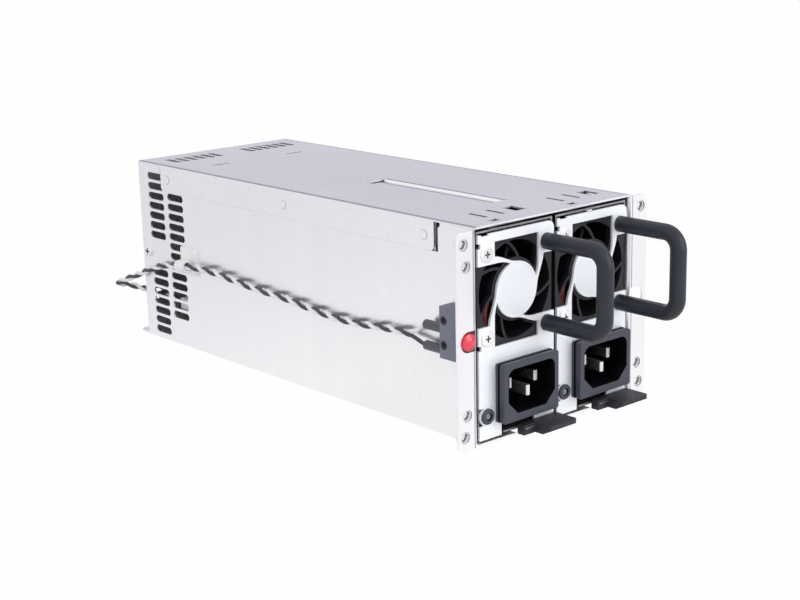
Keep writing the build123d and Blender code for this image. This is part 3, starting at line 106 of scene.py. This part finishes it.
class Graph:
    """Adds and links the nodes of one material or world."""

    def __init__(self, owner, output_kind):
        owner.use_nodes = True
        self.tree = owner.node_tree
        self.tree.nodes.clear()
        self.output = self.add(output_kind)

    def add(self, kind, inputs=None, **settings):
        node = self.tree.nodes.new(kind)
        for key, value in settings.items():
            setattr(node, key, value)
        for key, value in (inputs or {}).items():
            if isinstance(value, bpy.types.NodeSocket):
                self.tree.links.new(value, node.inputs[key])
            else:
                node.inputs[key].default_value = value
        return node

    def calc(self, operation, *values):
        return self.add("ShaderNodeMath", dict(enumerate(values)), operation=operation).outputs[0]

    def vector(self, operation, *values):
        inputs = dict(enumerate(values))
        return self.add("ShaderNodeVectorMath", inputs, operation=operation).outputs["Vector"]

    def dot(self, first, second):
        inputs = {0: first, 1: second}
        return self.add("ShaderNodeVectorMath", inputs, operation="DOT_PRODUCT").outputs["Value"]

    def scaled(self, vector, factor):
        inputs = {0: vector, "Scale": factor}
        return self.add("ShaderNodeVectorMath", inputs, operation="SCALE").outputs["Vector"]

    def split(self, vector):
        return self.add("ShaderNodeSeparateXYZ", {0: vector}).outputs

    def map_range(self, value, start, end, low=0.0, high=1.0, **settings):
        """The value's way from start to end, as a number between low and high."""
        inputs = {"Value": value, "From Min": start, "From Max": end, "To Min": low, "To Max": high}
        return self.add("ShaderNodeMapRange", inputs, **settings).outputs[0]

    def mix_color(self, factor, first, second):
        return self.add("ShaderNodeMix", {0: factor, 6: first, 7: second}, data_type="RGBA").outputs[2]

    def noise(self, place, size, stretch, detail, roughness):
        """Noise whose patches have the size, in millimetres, times the stretch along each axis."""
        scale = tuple(1.0 / (size * MM * share) for share in stretch)
        spread = self.add("ShaderNodeMapping", {"Vector": place, "Scale": scale}).outputs["Vector"]
        inputs = {"Vector": spread, "Scale": 1.0, "Detail": detail, "Roughness": roughness}
        return self.add("ShaderNodeTexNoise", inputs).outputs[0]

    def finish(self, surface):
        self.tree.links.new(surface, self.output.inputs["Surface"])


# Materials
EVEN = (1.0, 1.0, 1.0)
PALEST = 0.97
GRAIN_NOISE = (3.0, 0.55)
CLOUD_NOISE = (4.0, 0.6)
# The softened and the flat normal's dot product where the painted edge highlight and shade starts and where
# it is full
EDGE_START, EDGE_FULL, EDGE_SHARE = 0.985, 0.86, 0.7
# Open shares between which a hollow goes from its painted shade to full light
CAVITY_SHUT, CAVITY_OPEN = 0.6, 0.97
# How squarely a face must look the fold's way to show the fold's painted shade line, and the millimetres over
# which that line fades
FOLD_FACING, FOLD_TURNED = 0.8, 0.5
FOLD_SIDE_FADE, FOLD_END_FADE = 0.12, 0.4
# The share of the colour left under the painted shade along a fold
FOLD_SHADE = 0.4
FOLD_FACES = {"top": ((0.0, 0.0, 1.0), "Y"), "front": ((0.0, -1.0, 0.0), "Z")}
# The two noises' sum where the surface is smoothest and where it is roughest
GLOSS_LOW, GLOSS_HIGH = 0.6, 1.4
SMOOTHEST = 0.03
COAT_ROUGHNESS = 0.2


def shade(color, factor):
    """The colour made lighter or darker, kept below pure white."""
    return tuple(min(PALEST, channel * factor) for channel in color) + (1.0,)


def painted_fold_shade(g, color, place, normal, fold_shades, face):
    """The colour, with painted shade along the lines bent into the faces that look one way."""
    facing, along = FOLD_FACES[face]
    turned_away = g.map_range(g.dot(normal, facing), FOLD_FACING, FOLD_TURNED)
    for fold_x, fold_middle, half_width, half_length in fold_shades:
        middle = (fold_x * MM, fold_middle * MM, fold_middle * MM)
        apart = g.split(g.vector("ABSOLUTE", g.vector("SUBTRACT", place, middle)))
        beside = g.map_range(apart["X"], half_width * MM, (half_width + FOLD_SIDE_FADE) * MM)
        beyond = g.map_range(apart[along], half_length * MM, (half_length + FOLD_END_FADE) * MM)
        off_fold = g.calc("MAXIMUM", g.calc("MAXIMUM", beside, beyond), turned_away)
        color = g.scaled(color, g.map_range(off_fold, 0.0, 1.0, FOLD_SHADE, 1.0))
    return color


def pressed_ring(g, height, place, ring, grain_height):
    """The height with a round groove pressed into a front: middle x and z, radius, width and depth."""
    ring_x, ring_z, radius, width, depth = ring
    on_front = g.vector("MULTIPLY", place, (1.0, 0.0, 1.0))
    inputs = {0: on_front, 1: (ring_x * MM, 0.0, ring_z * MM)}
    span = g.add("ShaderNodeVectorMath", inputs, operation="DISTANCE").outputs["Value"]
    away = g.calc("ABSOLUTE", g.calc("SUBTRACT", span, radius * MM))
    groove = g.map_range(away, 0.0, width * MM, -depth / grain_height, 0.0, interpolation_type="SMOOTHSTEP")
    return g.calc("ADD", height, groove)


def make_material(
    name,
    color,
    metallic=0.0,
    roughness=0.5,
    roughness_spread=0.08,
    tint_spread=0.04,
    tint_size=18.0,
    tint_stretch=EVEN,
    grain_size=0.6,
    grain_stretch=EVEN,
    grain_height=0.01,
    edge_radius=0.25,
    edge_light_and_shade=1.12,
    specular=0.5,
    coat=0.0,
    cavity_reach=0.0,
    cavity_shade=0.3,
    cavity_local=True,
    rings=(),
    fold_shades=(),
    fold_face="top",
):
    """A procedural surface: uneven tone, grain in gloss and height, softened edges with painted highlight and
    shade, and painted shade in hollows. Sizes are in millimetres on the real object. Rings are (middle x,
    middle z, radius, width, depth) grooves in a front. Fold shades are (middle x, middle y, half width, half
    length) lines of painted shade on top faces, or with z for y on front faces."""
    material = bpy.data.materials.new(name)
    g = Graph(material, "ShaderNodeOutputMaterial")
    place = g.add("ShaderNodeTexCoord").outputs["Object"]
    grain = g.noise(place, grain_size, grain_stretch, *GRAIN_NOISE)
    cloud = g.noise(place, tint_size, tint_stretch, *CLOUD_NOISE)
    surface_color = g.mix_color(cloud, shade(color, 1.0 - tint_spread), shade(color, 1.0 + tint_spread))

    geometry = g.add("ShaderNodeNewGeometry").outputs
    rounded = flat = geometry["Normal"]
    if edge_radius:
        rounded = g.add("ShaderNodeBevel", {"Radius": edge_radius * MM}, samples=4).outputs["Normal"]
        flat = geometry["True Normal"]
    # Painted highlight and shade on the softened edges: a lighter copy of the colour above 1, a darker one
    # below it
    painted_edge_mask = g.map_range(g.dot(rounded, flat), EDGE_START, EDGE_FULL, 0.0, EDGE_SHARE)
    surface_color = g.mix_color(painted_edge_mask, surface_color, shade(color, edge_light_and_shade))
    if cavity_reach:
        # Painted shade: cut edges and slits are darkened in colour and gloss, as they hold less light than
        # the open sheet
        openness = g.add(
            "ShaderNodeAmbientOcclusion", {"Distance": cavity_reach * MM}, samples=6, only_local=cavity_local
        )
        shade_in_hollows = g.map_range(openness.outputs["AO"], CAVITY_SHUT, CAVITY_OPEN, cavity_shade, 1.0)
        specular = g.calc("MULTIPLY", shade_in_hollows, specular)
        surface_color = g.scaled(surface_color, shade_in_hollows)
    # Painted shade along the fold lines
    if fold_shades:
        surface_color = painted_fold_shade(g, surface_color, place, geometry["Normal"], fold_shades, fold_face)

    gloss = g.map_range(
        g.calc("ADD", grain, cloud),
        GLOSS_LOW,
        GLOSS_HIGH,
        max(SMOOTHEST, roughness - roughness_spread),
        min(1.0, roughness + roughness_spread),
    )
    height = grain
    for ring in rings:
        height = pressed_ring(g, height, place, ring, grain_height)
    bump_inputs = {"Strength": 1.0, "Distance": grain_height * MM, "Height": height, "Normal": rounded}
    shader = g.add(
        "ShaderNodeBsdfPrincipled",
        {
            "Base Color": surface_color,
            "Metallic": metallic,
            "Roughness": gloss,
            "Normal": g.add("ShaderNodeBump", bump_inputs).outputs["Normal"],
            "Specular IOR Level": specular,
            "Coat Weight": coat,
            "Coat Roughness": COAT_ROUGHNESS,
        },
    )
    g.finish(shader.outputs[0])
    return material


def box_mm(node):
    """The lowest and the highest corner of a solid, in millimetres."""
    return [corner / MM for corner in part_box(node)]


# The ring pressed into each front round its hub, in millimetres
ring_radius = 9.7
ring_width = 0.55
ring_depth = 0.05
panel_rings = []
for fan_frame in ("left_module_fan_frame", "right_module_fan_frame"):
    fan_low, fan_high = box_mm(fan_frame)
    fan_middle = (fan_low + fan_high) / 2
    panel_rings.append((fan_middle.x, fan_middle.z, ring_radius, ring_width, ring_depth))

# Painted shade lines along the bends of the cover's long sides and of the two edges of its guide slot
cover_low, cover_high = box_mm("cage_cover")
cover_middle_y = (cover_low.y + cover_high.y) / 2
cover_half_length = (cover_high.y - cover_low.y) / 2
cover_bend_inset = 0.9
cover_bend_half_width = 0.7
guide_middle_y = -47.5
guide_half_length = 35.5
guide_left_x, guide_left_half_width = -5.3, 0.55
guide_right_x, guide_right_half_width = 1.7, 0.65
cover_fold_shades = (
    (cover_low.x + cover_bend_inset, cover_middle_y, cover_bend_half_width, cover_half_length),
    (cover_high.x - cover_bend_inset, cover_middle_y, cover_bend_half_width, cover_half_length),
    (guide_left_x, guide_middle_y, guide_left_half_width, guide_half_length),
    (guide_right_x, guide_middle_y, guide_right_half_width, guide_half_length),
)

# Painted shade lines along the bends where the ears leave the side walls
tray_low, tray_high = box_mm("cage_tray")
tray_middle_z = (tray_low.z + tray_high.z) / 2
tray_half_height = (tray_high.z - tray_low.z) / 2
ear_bend_offset = 1.0
ear_bend_half_width = 0.2
ear_bend_x = cover_high.x + ear_bend_offset
tray_fold_shades = tuple(
    (side * ear_bend_x, tray_middle_z, ear_bend_half_width, tray_half_height) for side in (-1, 1)
)

# Edge tones above 1 paint highlights on edges and below 1 paint shade; cavity reach and tone paint shade into
# hollows and slits; folds paint shade lines along bends
surfaces = {
    "side_steel": make_material(
        "satin_sheet", (0.925, 0.915, 0.935), metallic=0.85, roughness=0.30, roughness_spread=0.05,
        tint_spread=0.045, tint_size=9.0, tint_stretch=(1.0, 1.0, 30.0),
        grain_size=0.5, grain_stretch=(1.0, 1.0, 12.0), grain_height=0.003,
        edge_radius=0.2, cavity_reach=1.2, cavity_shade=0.35, fold_shades=tray_fold_shades, fold_face="front",
    ),
    # The cover's guide slot, slits and cut edges carry painted shade
    "cover_steel": make_material(
        "cover_sheet", (0.93, 0.92, 0.945), metallic=0.85, roughness=0.28, roughness_spread=0.05,
        tint_spread=0.02, tint_size=60.0, grain_size=0.5, grain_stretch=(1.0, 9.0, 1.0), grain_height=0.004,
        edge_radius=0.3, edge_light_and_shade=0.6, cavity_reach=4.0, cavity_shade=0.08, fold_shades=cover_fold_shades,
    ),
    "front_steel": make_material(
        "panel_sheet", (0.90, 0.915, 0.955), metallic=0.35, roughness=0.42, roughness_spread=0.05,
        tint_spread=0.015, tint_size=25.0, grain_size=0.35, grain_height=0.004, edge_radius=0.15,
        rings=panel_rings,
    ),
    # A darker copy of the sheet steel, with painted shade cast by the cage and the parts round the module
    # sheets
    "inner_steel": make_material(
        "module_sheet", (0.74, 0.735, 0.76), metallic=0.85, roughness=0.36, roughness_spread=0.06,
        tint_spread=0.05, tint_size=30.0, grain_size=0.5, grain_stretch=(1.0, 9.0, 1.0), grain_height=0.005,
        edge_radius=0.2, cavity_reach=12.0, cavity_shade=0.10, cavity_local=False,
    ),
    "rivet_steel": make_material(
        "rivet_metal", (0.93, 0.92, 0.93), metallic=0.7, roughness=0.36, grain_size=0.3, grain_height=0.006,
        edge_radius=0.45, edge_light_and_shade=0.25,
    ),
    "screw_steel": make_material(
        "screw_metal", (0.92, 0.91, 0.90), metallic=0.6, roughness=0.32, grain_size=0.3, grain_height=0.004,
        edge_radius=0.25, edge_light_and_shade=0.3, cavity_reach=1.6, cavity_shade=0.08,
    ),
    "spring_steel": make_material(
        "spring_strip", (0.30, 0.30, 0.32), metallic=0.9, roughness=0.35, grain_size=0.3,
        grain_stretch=(1.0, 12.0, 1.0), grain_height=0.006, edge_radius=0.1, edge_light_and_shade=1.4,
    ),
    # The blades carry painted shade deep in the inlet, cast by the parts round them
    "pin_steel": make_material(
        "blade_metal", (0.90, 0.89, 0.86), metallic=0.9, roughness=0.28, grain_size=0.3,
        grain_stretch=(1.0, 8.0, 1.0), grain_height=0.004, edge_radius=0.15,
        cavity_reach=9.0, cavity_shade=0.05, cavity_local=False,
    ),
    "brass_metal": make_material(
        "terminal_brass", (0.74, 0.58, 0.30), metallic=0.95, roughness=0.32, grain_size=0.3,
        grain_height=0.005, edge_radius=0.1,
    ),
    "sink_aluminium": make_material(
        "extruded_aluminium", (0.74, 0.75, 0.76), metallic=0.9, roughness=0.38, grain_size=0.4,
        grain_stretch=(1.0, 14.0, 1.0), grain_height=0.01, edge_radius=0.2,
    ),
    "handle_metal": make_material(
        "handle_black", (0.022, 0.024, 0.034), roughness=0.42, roughness_spread=0.06, tint_spread=0.25,
        tint_size=8.0, grain_size=0.45, grain_height=0.012, edge_radius=0.3, edge_light_and_shade=1.6, specular=0.35,
    ),
    "core_metal": make_material(
        "ferrite_core", (0.06, 0.055, 0.055), roughness=0.55, tint_spread=0.2, grain_size=0.5,
        grain_height=0.02, edge_radius=0.3,
    ),
    # The fan's struts and rims carry a strong painted highlight on their edges
    "fan_plastic": make_material(
        "fan_black", (0.010, 0.010, 0.013), roughness=0.45, roughness_spread=0.08, tint_spread=0.2,
        grain_size=0.4, grain_height=0.01, edge_radius=0.25, edge_light_and_shade=3.5, specular=0.4,
    ),
    "dark_plastic": make_material(
        "socket_black", (0.03, 0.03, 0.032), roughness=0.5, tint_spread=0.15, grain_size=0.4,
        grain_height=0.015, edge_radius=0.2, edge_light_and_shade=1.8,
    ),
    # Painted shade darkens the inlet's mouth towards its depth
    "inlet_plastic": make_material(
        "inlet_grey", (0.050, 0.052, 0.072), roughness=0.48, roughness_spread=0.07, tint_spread=0.12,
        tint_size=9.0, grain_size=0.35, grain_height=0.018, edge_radius=0.3, edge_light_and_shade=2.0, specular=0.4,
        cavity_reach=30.0, cavity_shade=0.06,
    ),
    "tab_plastic": make_material(
        "tab_grey", (0.024, 0.026, 0.033), roughness=0.55, roughness_spread=0.06, tint_spread=0.12,
        tint_size=8.0, grain_size=0.3, grain_height=0.03, edge_radius=0.35, edge_light_and_shade=1.8, specular=0.35,
    ),
    "switch_plastic": make_material(
        "switch_grey", (0.175, 0.180, 0.235), roughness=0.5, roughness_spread=0.06, tint_spread=0.12,
        tint_size=6.0, grain_size=0.3, grain_height=0.02, edge_radius=0.25, edge_light_and_shade=0.5, specular=0.35,
        cavity_reach=2.5, cavity_shade=0.08,
    ),
    "button_plastic": make_material(
        "button_red", (0.72, 0.035, 0.075), roughness=0.25, roughness_spread=0.05, tint_spread=0.06,
        tint_size=4.0, grain_size=0.3, grain_height=0.004, edge_radius=0.0, specular=0.6, coat=0.4,
    ),
    "lamp_glass": make_material(
        "lamp_dome", (0.16, 0.165, 0.18), roughness=0.2, roughness_spread=0.05, tint_spread=0.1,
        tint_size=2.0, grain_size=0.2, grain_height=0.003, edge_radius=0.2, specular=0.6, coat=0.4,
    ),
    "white_plastic": make_material(
        "white_moulding", (0.92, 0.92, 0.92), roughness=0.45, roughness_spread=0.06, tint_spread=0.02,
        grain_size=0.35, grain_height=0.012, edge_radius=0.25, edge_light_and_shade=1.03,
    ),
    "sleeve_plastic": make_material(
        "sleeve_grey", (0.075, 0.076, 0.092), roughness=0.42, roughness_spread=0.06, tint_spread=0.1,
        tint_size=4.0, grain_size=0.3, grain_height=0.01, edge_radius=0.2, edge_light_and_shade=1.5,
    ),
    # Dark steel for the ear threads, as painted shade inside the holes
    "thread_steel": make_material(
        "thread_shade", (0.16, 0.155, 0.17), metallic=0.7, roughness=0.4, tint_spread=0.1, tint_size=2.0,
        grain_size=0.2, grain_height=0.005, edge_radius=0.05, edge_light_and_shade=1.5,
    ),
    "wire_black": make_material(
        "insulation_black", (0.045, 0.048, 0.070), roughness=0.4, roughness_spread=0.08, tint_spread=0.2,
        tint_size=5.0, grain_size=0.25, grain_height=0.006, edge_radius=0.1,
    ),
    "wire_white": make_material(
        "insulation_white", (0.84, 0.84, 0.83), roughness=0.4, roughness_spread=0.08, tint_spread=0.03,
        tint_size=5.0, grain_size=0.25, grain_height=0.006, edge_radius=0.1, edge_light_and_shade=1.02,
    ),
    "wire_red": make_material(
        "insulation_red", (0.30, 0.012, 0.022), roughness=0.4, roughness_spread=0.08, tint_spread=0.08,
        tint_size=5.0, grain_size=0.25, grain_height=0.006, edge_radius=0.1,
    ),
    "black_rubber": make_material(
        "grommet_rubber", (0.022, 0.022, 0.023), roughness=0.65, tint_spread=0.15, grain_size=0.4,
        grain_height=0.02, edge_radius=0.3, edge_light_and_shade=1.5, specular=0.3,
    ),
    "circuit_board": make_material(
        "board_green", (0.008, 0.032, 0.022), roughness=0.38, roughness_spread=0.1, tint_spread=0.15,
        tint_size=3.0, grain_size=0.5, grain_height=0.01, edge_radius=0.1, edge_light_and_shade=1.5, coat=0.2,
    ),
    "capacitor_sleeve": make_material(
        "capacitor_black", (0.03, 0.035, 0.055), roughness=0.3, tint_spread=0.12, grain_size=0.4,
        grain_height=0.006, edge_radius=0.3, edge_light_and_shade=1.6, coat=0.2,
    ),
}

# The modules' inner sheets take a darker copy of the sheet steel with painted shade, and the switch's
# recessed screws a dark plastic as painted shade in their holes. Both share a slot with brighter or paler
# pieces
own_surfaces = {
    "left_module_case": "inner_steel",
    "right_module_case": "inner_steel",
    "left_module_lid": "inner_steel",
    "right_module_lid": "inner_steel",
    "switch_screws": "dark_plastic",
}
for row in record["subparts"]:
    surface = own_surfaces.get(row["node"], row["material_slot"])
    part_materials = nodes[row["node"]].data.materials
    part_materials.clear()
    part_materials.append(surfaces[surface])

# Threads in the ear holes, which the solids leave plain, in a dark steel that is painted shade inside the
# holes. Millimetres.
thread_start = 0.45
thread_pitch = 0.63
thread_depth = 0.3
thread_root_half = 0.2499
thread_crest_half = 0.0357
thread_overlap = 0.02
thread_turns = 2
thread_steps = 32
thread_fade_turns = 0.25


def ear_holes():
    """The middle x, the middle z and the radius of each hole in the ears, from the record's mounts."""
    for pattern in record["mounts"]:
        if not pattern["name"].startswith("ear_"):
            continue
        sizes = pattern["dims"]
        middle_z = pattern["pos_m"][2] / MM
        for side in (-1, 1):
            for level in (-1, 1):
                hole_x = side * sizes["spacing_x_mm"] / 2
                hole_z = middle_z + level * sizes["spacing_y_mm"] / 2
                yield hole_x, hole_z, sizes["hole_r_mm"]


def thread_ridge(mesh, middle_x, middle_z, hole_radius, front_y):
    """One helical ridge, narrower at its crest, that winds into a hole from its front."""
    previous = None
    for step in range(thread_turns * thread_steps + 1):
        turned = step / thread_steps
        angle = FULL_TURN * turned
        fade = min(1.0, turned / thread_fade_turns, (thread_turns - turned) / thread_fade_turns)
        root = hole_radius + thread_overlap
        crest = hole_radius - thread_depth * fade
        middle_y = front_y + thread_start + (turned + 0.5) * thread_pitch
        ring = []
        for radius, slip in (
            (root, -thread_root_half),
            (crest, -thread_crest_half),
            (crest, thread_crest_half),
            (root, thread_root_half),
        ):
            spot = Vector((
                middle_x + radius * math.cos(angle),
                middle_y + slip,
                middle_z + radius * math.sin(angle),
            ))
            ring.append(mesh.verts.new(spot * MM))
        if previous:
            for index in range(4):
                after = (index + 1) % 4
                mesh.faces.new((previous[index], ring[index], ring[after], previous[after]))
        else:
            mesh.faces.new(ring)
        previous = ring
    mesh.faces.new(list(reversed(previous)))


thread_mesh = bmesh.new()
for hole_x, hole_z, hole_radius in ear_holes():
    thread_ridge(thread_mesh, hole_x, hole_z, hole_radius, tray_low.y)
bmesh.ops.recalc_face_normals(thread_mesh, faces=thread_mesh.faces)
thread_data = bpy.data.meshes.new("ear_threads")
thread_mesh.to_mesh(thread_data)
thread_mesh.free()
ear_threads = add_object("ear_threads", thread_data)
thread_data.materials.append(surfaces["thread_steel"])
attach(ear_threads, "cage")

# Twisted lead, in place of the plain cord of the solids and on the same route. Millimetres.
lead_route = [
    (-45.6, -79.0, 38.4),
    (-45.4, -64.5, 38.0),
    (-45.3, -46.0, 35.9),
    (-45.3, -24.0, 36.1),
    (-45.3, -1.0, 38.2),
    (-45.4, 22.0, 38.6),
    (-45.6, 44.0, 40.4),
    (-46.1, 60.0, 41.3),
    (-46.1, 86.0, 39.0),
    (-45.6, 97.5, 36.2),
    (-45.8, 108.5, 31.8),
    (-46.6, 118.0, 28.0),
    (-49.4, 126.0, 24.6),
    (-46.4, 131.6, 22.4),
    (-40.6, 129.8, 21.0),
    (-37.8, 122.0, 20.0),
    (-37.6, 110.0, 19.6),
    (-37.7, 98.0, 19.5),
    (-37.7, 88.0, 19.4),
]
wire_diameter = 1.55
wire_offset = 0.78
wire_pitch = 13.0


def smooth_line(points, name):
    """The points of a NURBS line through the route, read from the evaluated curve."""
    data = bpy.data.curves.new(name, "CURVE")
    data.dimensions = "3D"
    data.resolution_u = 24
    spline = data.splines.new("NURBS")
    spline.points.add(len(points) - 1)
    for handle, point in zip(spline.points, points):
        handle.co = (point[0] * MM, point[1] * MM, point[2] * MM, 1.0)
    spline.order_u = 3
    spline.use_endpoint_u = True
    holder = add_object(name, data)
    bpy.context.view_layer.update()
    mesh = bpy.data.meshes.new_from_object(holder)
    line = [vertex.co.copy() for vertex in mesh.vertices]
    bpy.data.objects.remove(holder)
    bpy.data.meshes.remove(mesh)
    return line


def strand(name, line, phase, slot_name):
    """One wire of the pair, wound round the route's line."""
    across = Vector((0.0, 0.0, 1.0))
    wound = []
    travelled = 0.0
    for index, point in enumerate(line):
        before = line[max(index - 1, 0)]
        after = line[min(index + 1, len(line) - 1)]
        along = (after - before).normalized()
        across = (across - along * across.dot(along)).normalized()
        side = along.cross(across)
        if index:
            travelled += (point - line[index - 1]).length
        angle = FULL_TURN * travelled / (wire_pitch * MM) + phase
        wound.append(point + (across * math.cos(angle) + side * math.sin(angle)) * wire_offset * MM)
    data = bpy.data.curves.new(name, "CURVE")
    data.dimensions = "3D"
    data.bevel_depth = wire_diameter * MM / 2
    data.bevel_resolution = 5
    data.use_fill_caps = True
    spline = data.splines.new("POLY")
    spline.points.add(len(wound) - 1)
    for handle, point in zip(spline.points, wound):
        handle.co = (*point, 1.0)
    spline.use_smooth = True
    piece = add_object(name, data)
    data.materials.append(surfaces[slot_name])
    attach(piece, "cage")
    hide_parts("alarm_lead")


lead_line = smooth_line(lead_route, "lead_route")
strand("alarm_wire_white", lead_line, 0.0, "wire_white")
strand("alarm_wire_black", lead_line, FULL_TURN / 2, "wire_black")

# Floor: a matte white that camera and mirror rays see as a plain glow
WHITE = (1.0, 1.0, 1.0, 1.0)
floor_tones = (0.90, 0.90, 0.90, 1.0), (0.93, 0.93, 0.93, 1.0)
floor_shaded_hue = (0.80, 0.775, 0.83, 1.0)
floor_glow_share = 0.98
floor_reach = 4.0
floor_drop = 0.0004
# The mirrored floor dulls from the cage's middle to the rear, and by less towards the front
rear_dull_start, rear_dull_end = 0.0, 0.3
front_dull_start, front_dull_end, front_dull_share = -0.10, -0.22, 0.45

floor_material = bpy.data.materials.new("floor_white")
g = Graph(floor_material, "ShaderNodeOutputMaterial")
place = g.add("ShaderNodeTexCoord").outputs["Object"]
floor_noise = g.add("ShaderNodeTexNoise", {"Vector": place, "Scale": 3.0}).outputs[0]
matte = g.add("ShaderNodeBsdfDiffuse", {"Color": g.mix_color(floor_noise, *floor_tones)}).outputs[0]
rays = g.add("ShaderNodeLightPath").outputs
depth = g.split(place)["Y"]
dulled = g.calc(
    "MAXIMUM",
    g.map_range(depth, rear_dull_start, rear_dull_end),
    g.map_range(depth, front_dull_start, front_dull_end, 0.0, front_dull_share),
)
dulled = g.calc("MULTIPLY", dulled, rays["Is Glossy Ray"])
glow_color = g.mix_color(dulled, WHITE, floor_shaded_hue)
glow = g.add("ShaderNodeEmission", {"Color": glow_color, "Strength": 1.0}).outputs[0]
seen = g.calc("MAXIMUM", rays["Is Camera Ray"], rays["Is Glossy Ray"])
seen = g.calc("MAXIMUM", seen, rays["Is Transmission Ray"])
glow_share = g.calc("MULTIPLY", seen, floor_glow_share)
g.finish(g.add("ShaderNodeMixShader", {0: glow_share, 1: matte, 2: glow}).outputs[0])

floor_mesh = bpy.data.meshes.new("floor")
floor_corners = [(x * floor_reach, y * floor_reach, 0.0) for x, y in ((-1, -1), (1, -1), (1, 1), (-1, 1))]
floor_mesh.from_pydata(floor_corners, [], [(0, 1, 2, 3)])
floor = add_object("floor", floor_mesh)
floor.location = (0.0, 0.0, -floor_drop)
floor_mesh.materials.append(floor_material)

# World: soft light, a white back for the camera, and for metal a studio to mirror. The studio has a white
# horizon, then duller, slightly violet walls, weaker on the left, under a white ceiling.
soft_color = (0.96, 0.97, 1.0, 1.0)
soft_strength = 0.55
wall_color = (0.50, 0.485, 0.57, 1.0)
wall_foot_start, wall_foot_end = 0.05, 0.16
wall_head_start, wall_head_end = 0.38, 0.58
left_wall_share = 0.5
left_wall_x, right_wall_x = -0.3, 0.3

world = bpy.data.worlds.new("studio")
scene.world = world
g = Graph(world, "ShaderNodeOutputWorld")
rays = g.add("ShaderNodeLightPath").outputs
direction = g.split(g.add("ShaderNodeTexCoord").outputs["Generated"])
wall = g.calc(
    "MULTIPLY",
    g.map_range(direction["Z"], wall_foot_start, wall_foot_end),
    g.map_range(direction["Z"], wall_head_start, wall_head_end, 1.0, 0.0),
)
wall = g.calc("MULTIPLY", wall, g.map_range(direction["X"], left_wall_x, right_wall_x, left_wall_share, 1.0))
soft_light = g.add("ShaderNodeBackground", {"Color": soft_color, "Strength": soft_strength}).outputs[0]
mirrored_color = g.mix_color(wall, WHITE, wall_color)
mirrored = g.add("ShaderNodeBackground", {"Color": mirrored_color, "Strength": 1.0}).outputs[0]
white_back = g.add("ShaderNodeBackground", {"Color": WHITE, "Strength": 1.0}).outputs[0]
studio = g.add("ShaderNodeMixShader", {0: rays["Is Glossy Ray"], 1: soft_light, 2: mirrored}).outputs[0]
seen = g.calc("MAXIMUM", rays["Is Camera Ray"], rays["Is Transmission Ray"])
g.finish(g.add("ShaderNodeMixShader", {0: seen, 1: studio, 2: white_back}).outputs[0])


def soft_lamp(name, place, target, size, power):
    """A square softbox that faces its target."""
    data = bpy.data.lights.new(name, "AREA")
    data.shape = "SQUARE"
    data.size = size
    data.energy = power
    lamp = add_object(name, data)
    lamp.location = place
    lamp.rotation_mode = "QUATERNION"
    lamp.rotation_quaternion = (Vector(target) - Vector(place)).to_track_quat("-Z", "Y")
    return lamp


key_lamp = soft_lamp("key", place=(-0.9, -0.8, 1.2), target=(0.0, 0.0, 0.04), size=1.6, power=12.0)
# The lid would mirror the key lamp as a blank white patch
key_lamp.visible_glossy = False
soft_lamp("fill", place=(0.55, -1.3, 0.6), target=(0.0, -0.1, 0.04), size=1.1, power=10.0)

scene.view_settings.view_transform = "Standard"
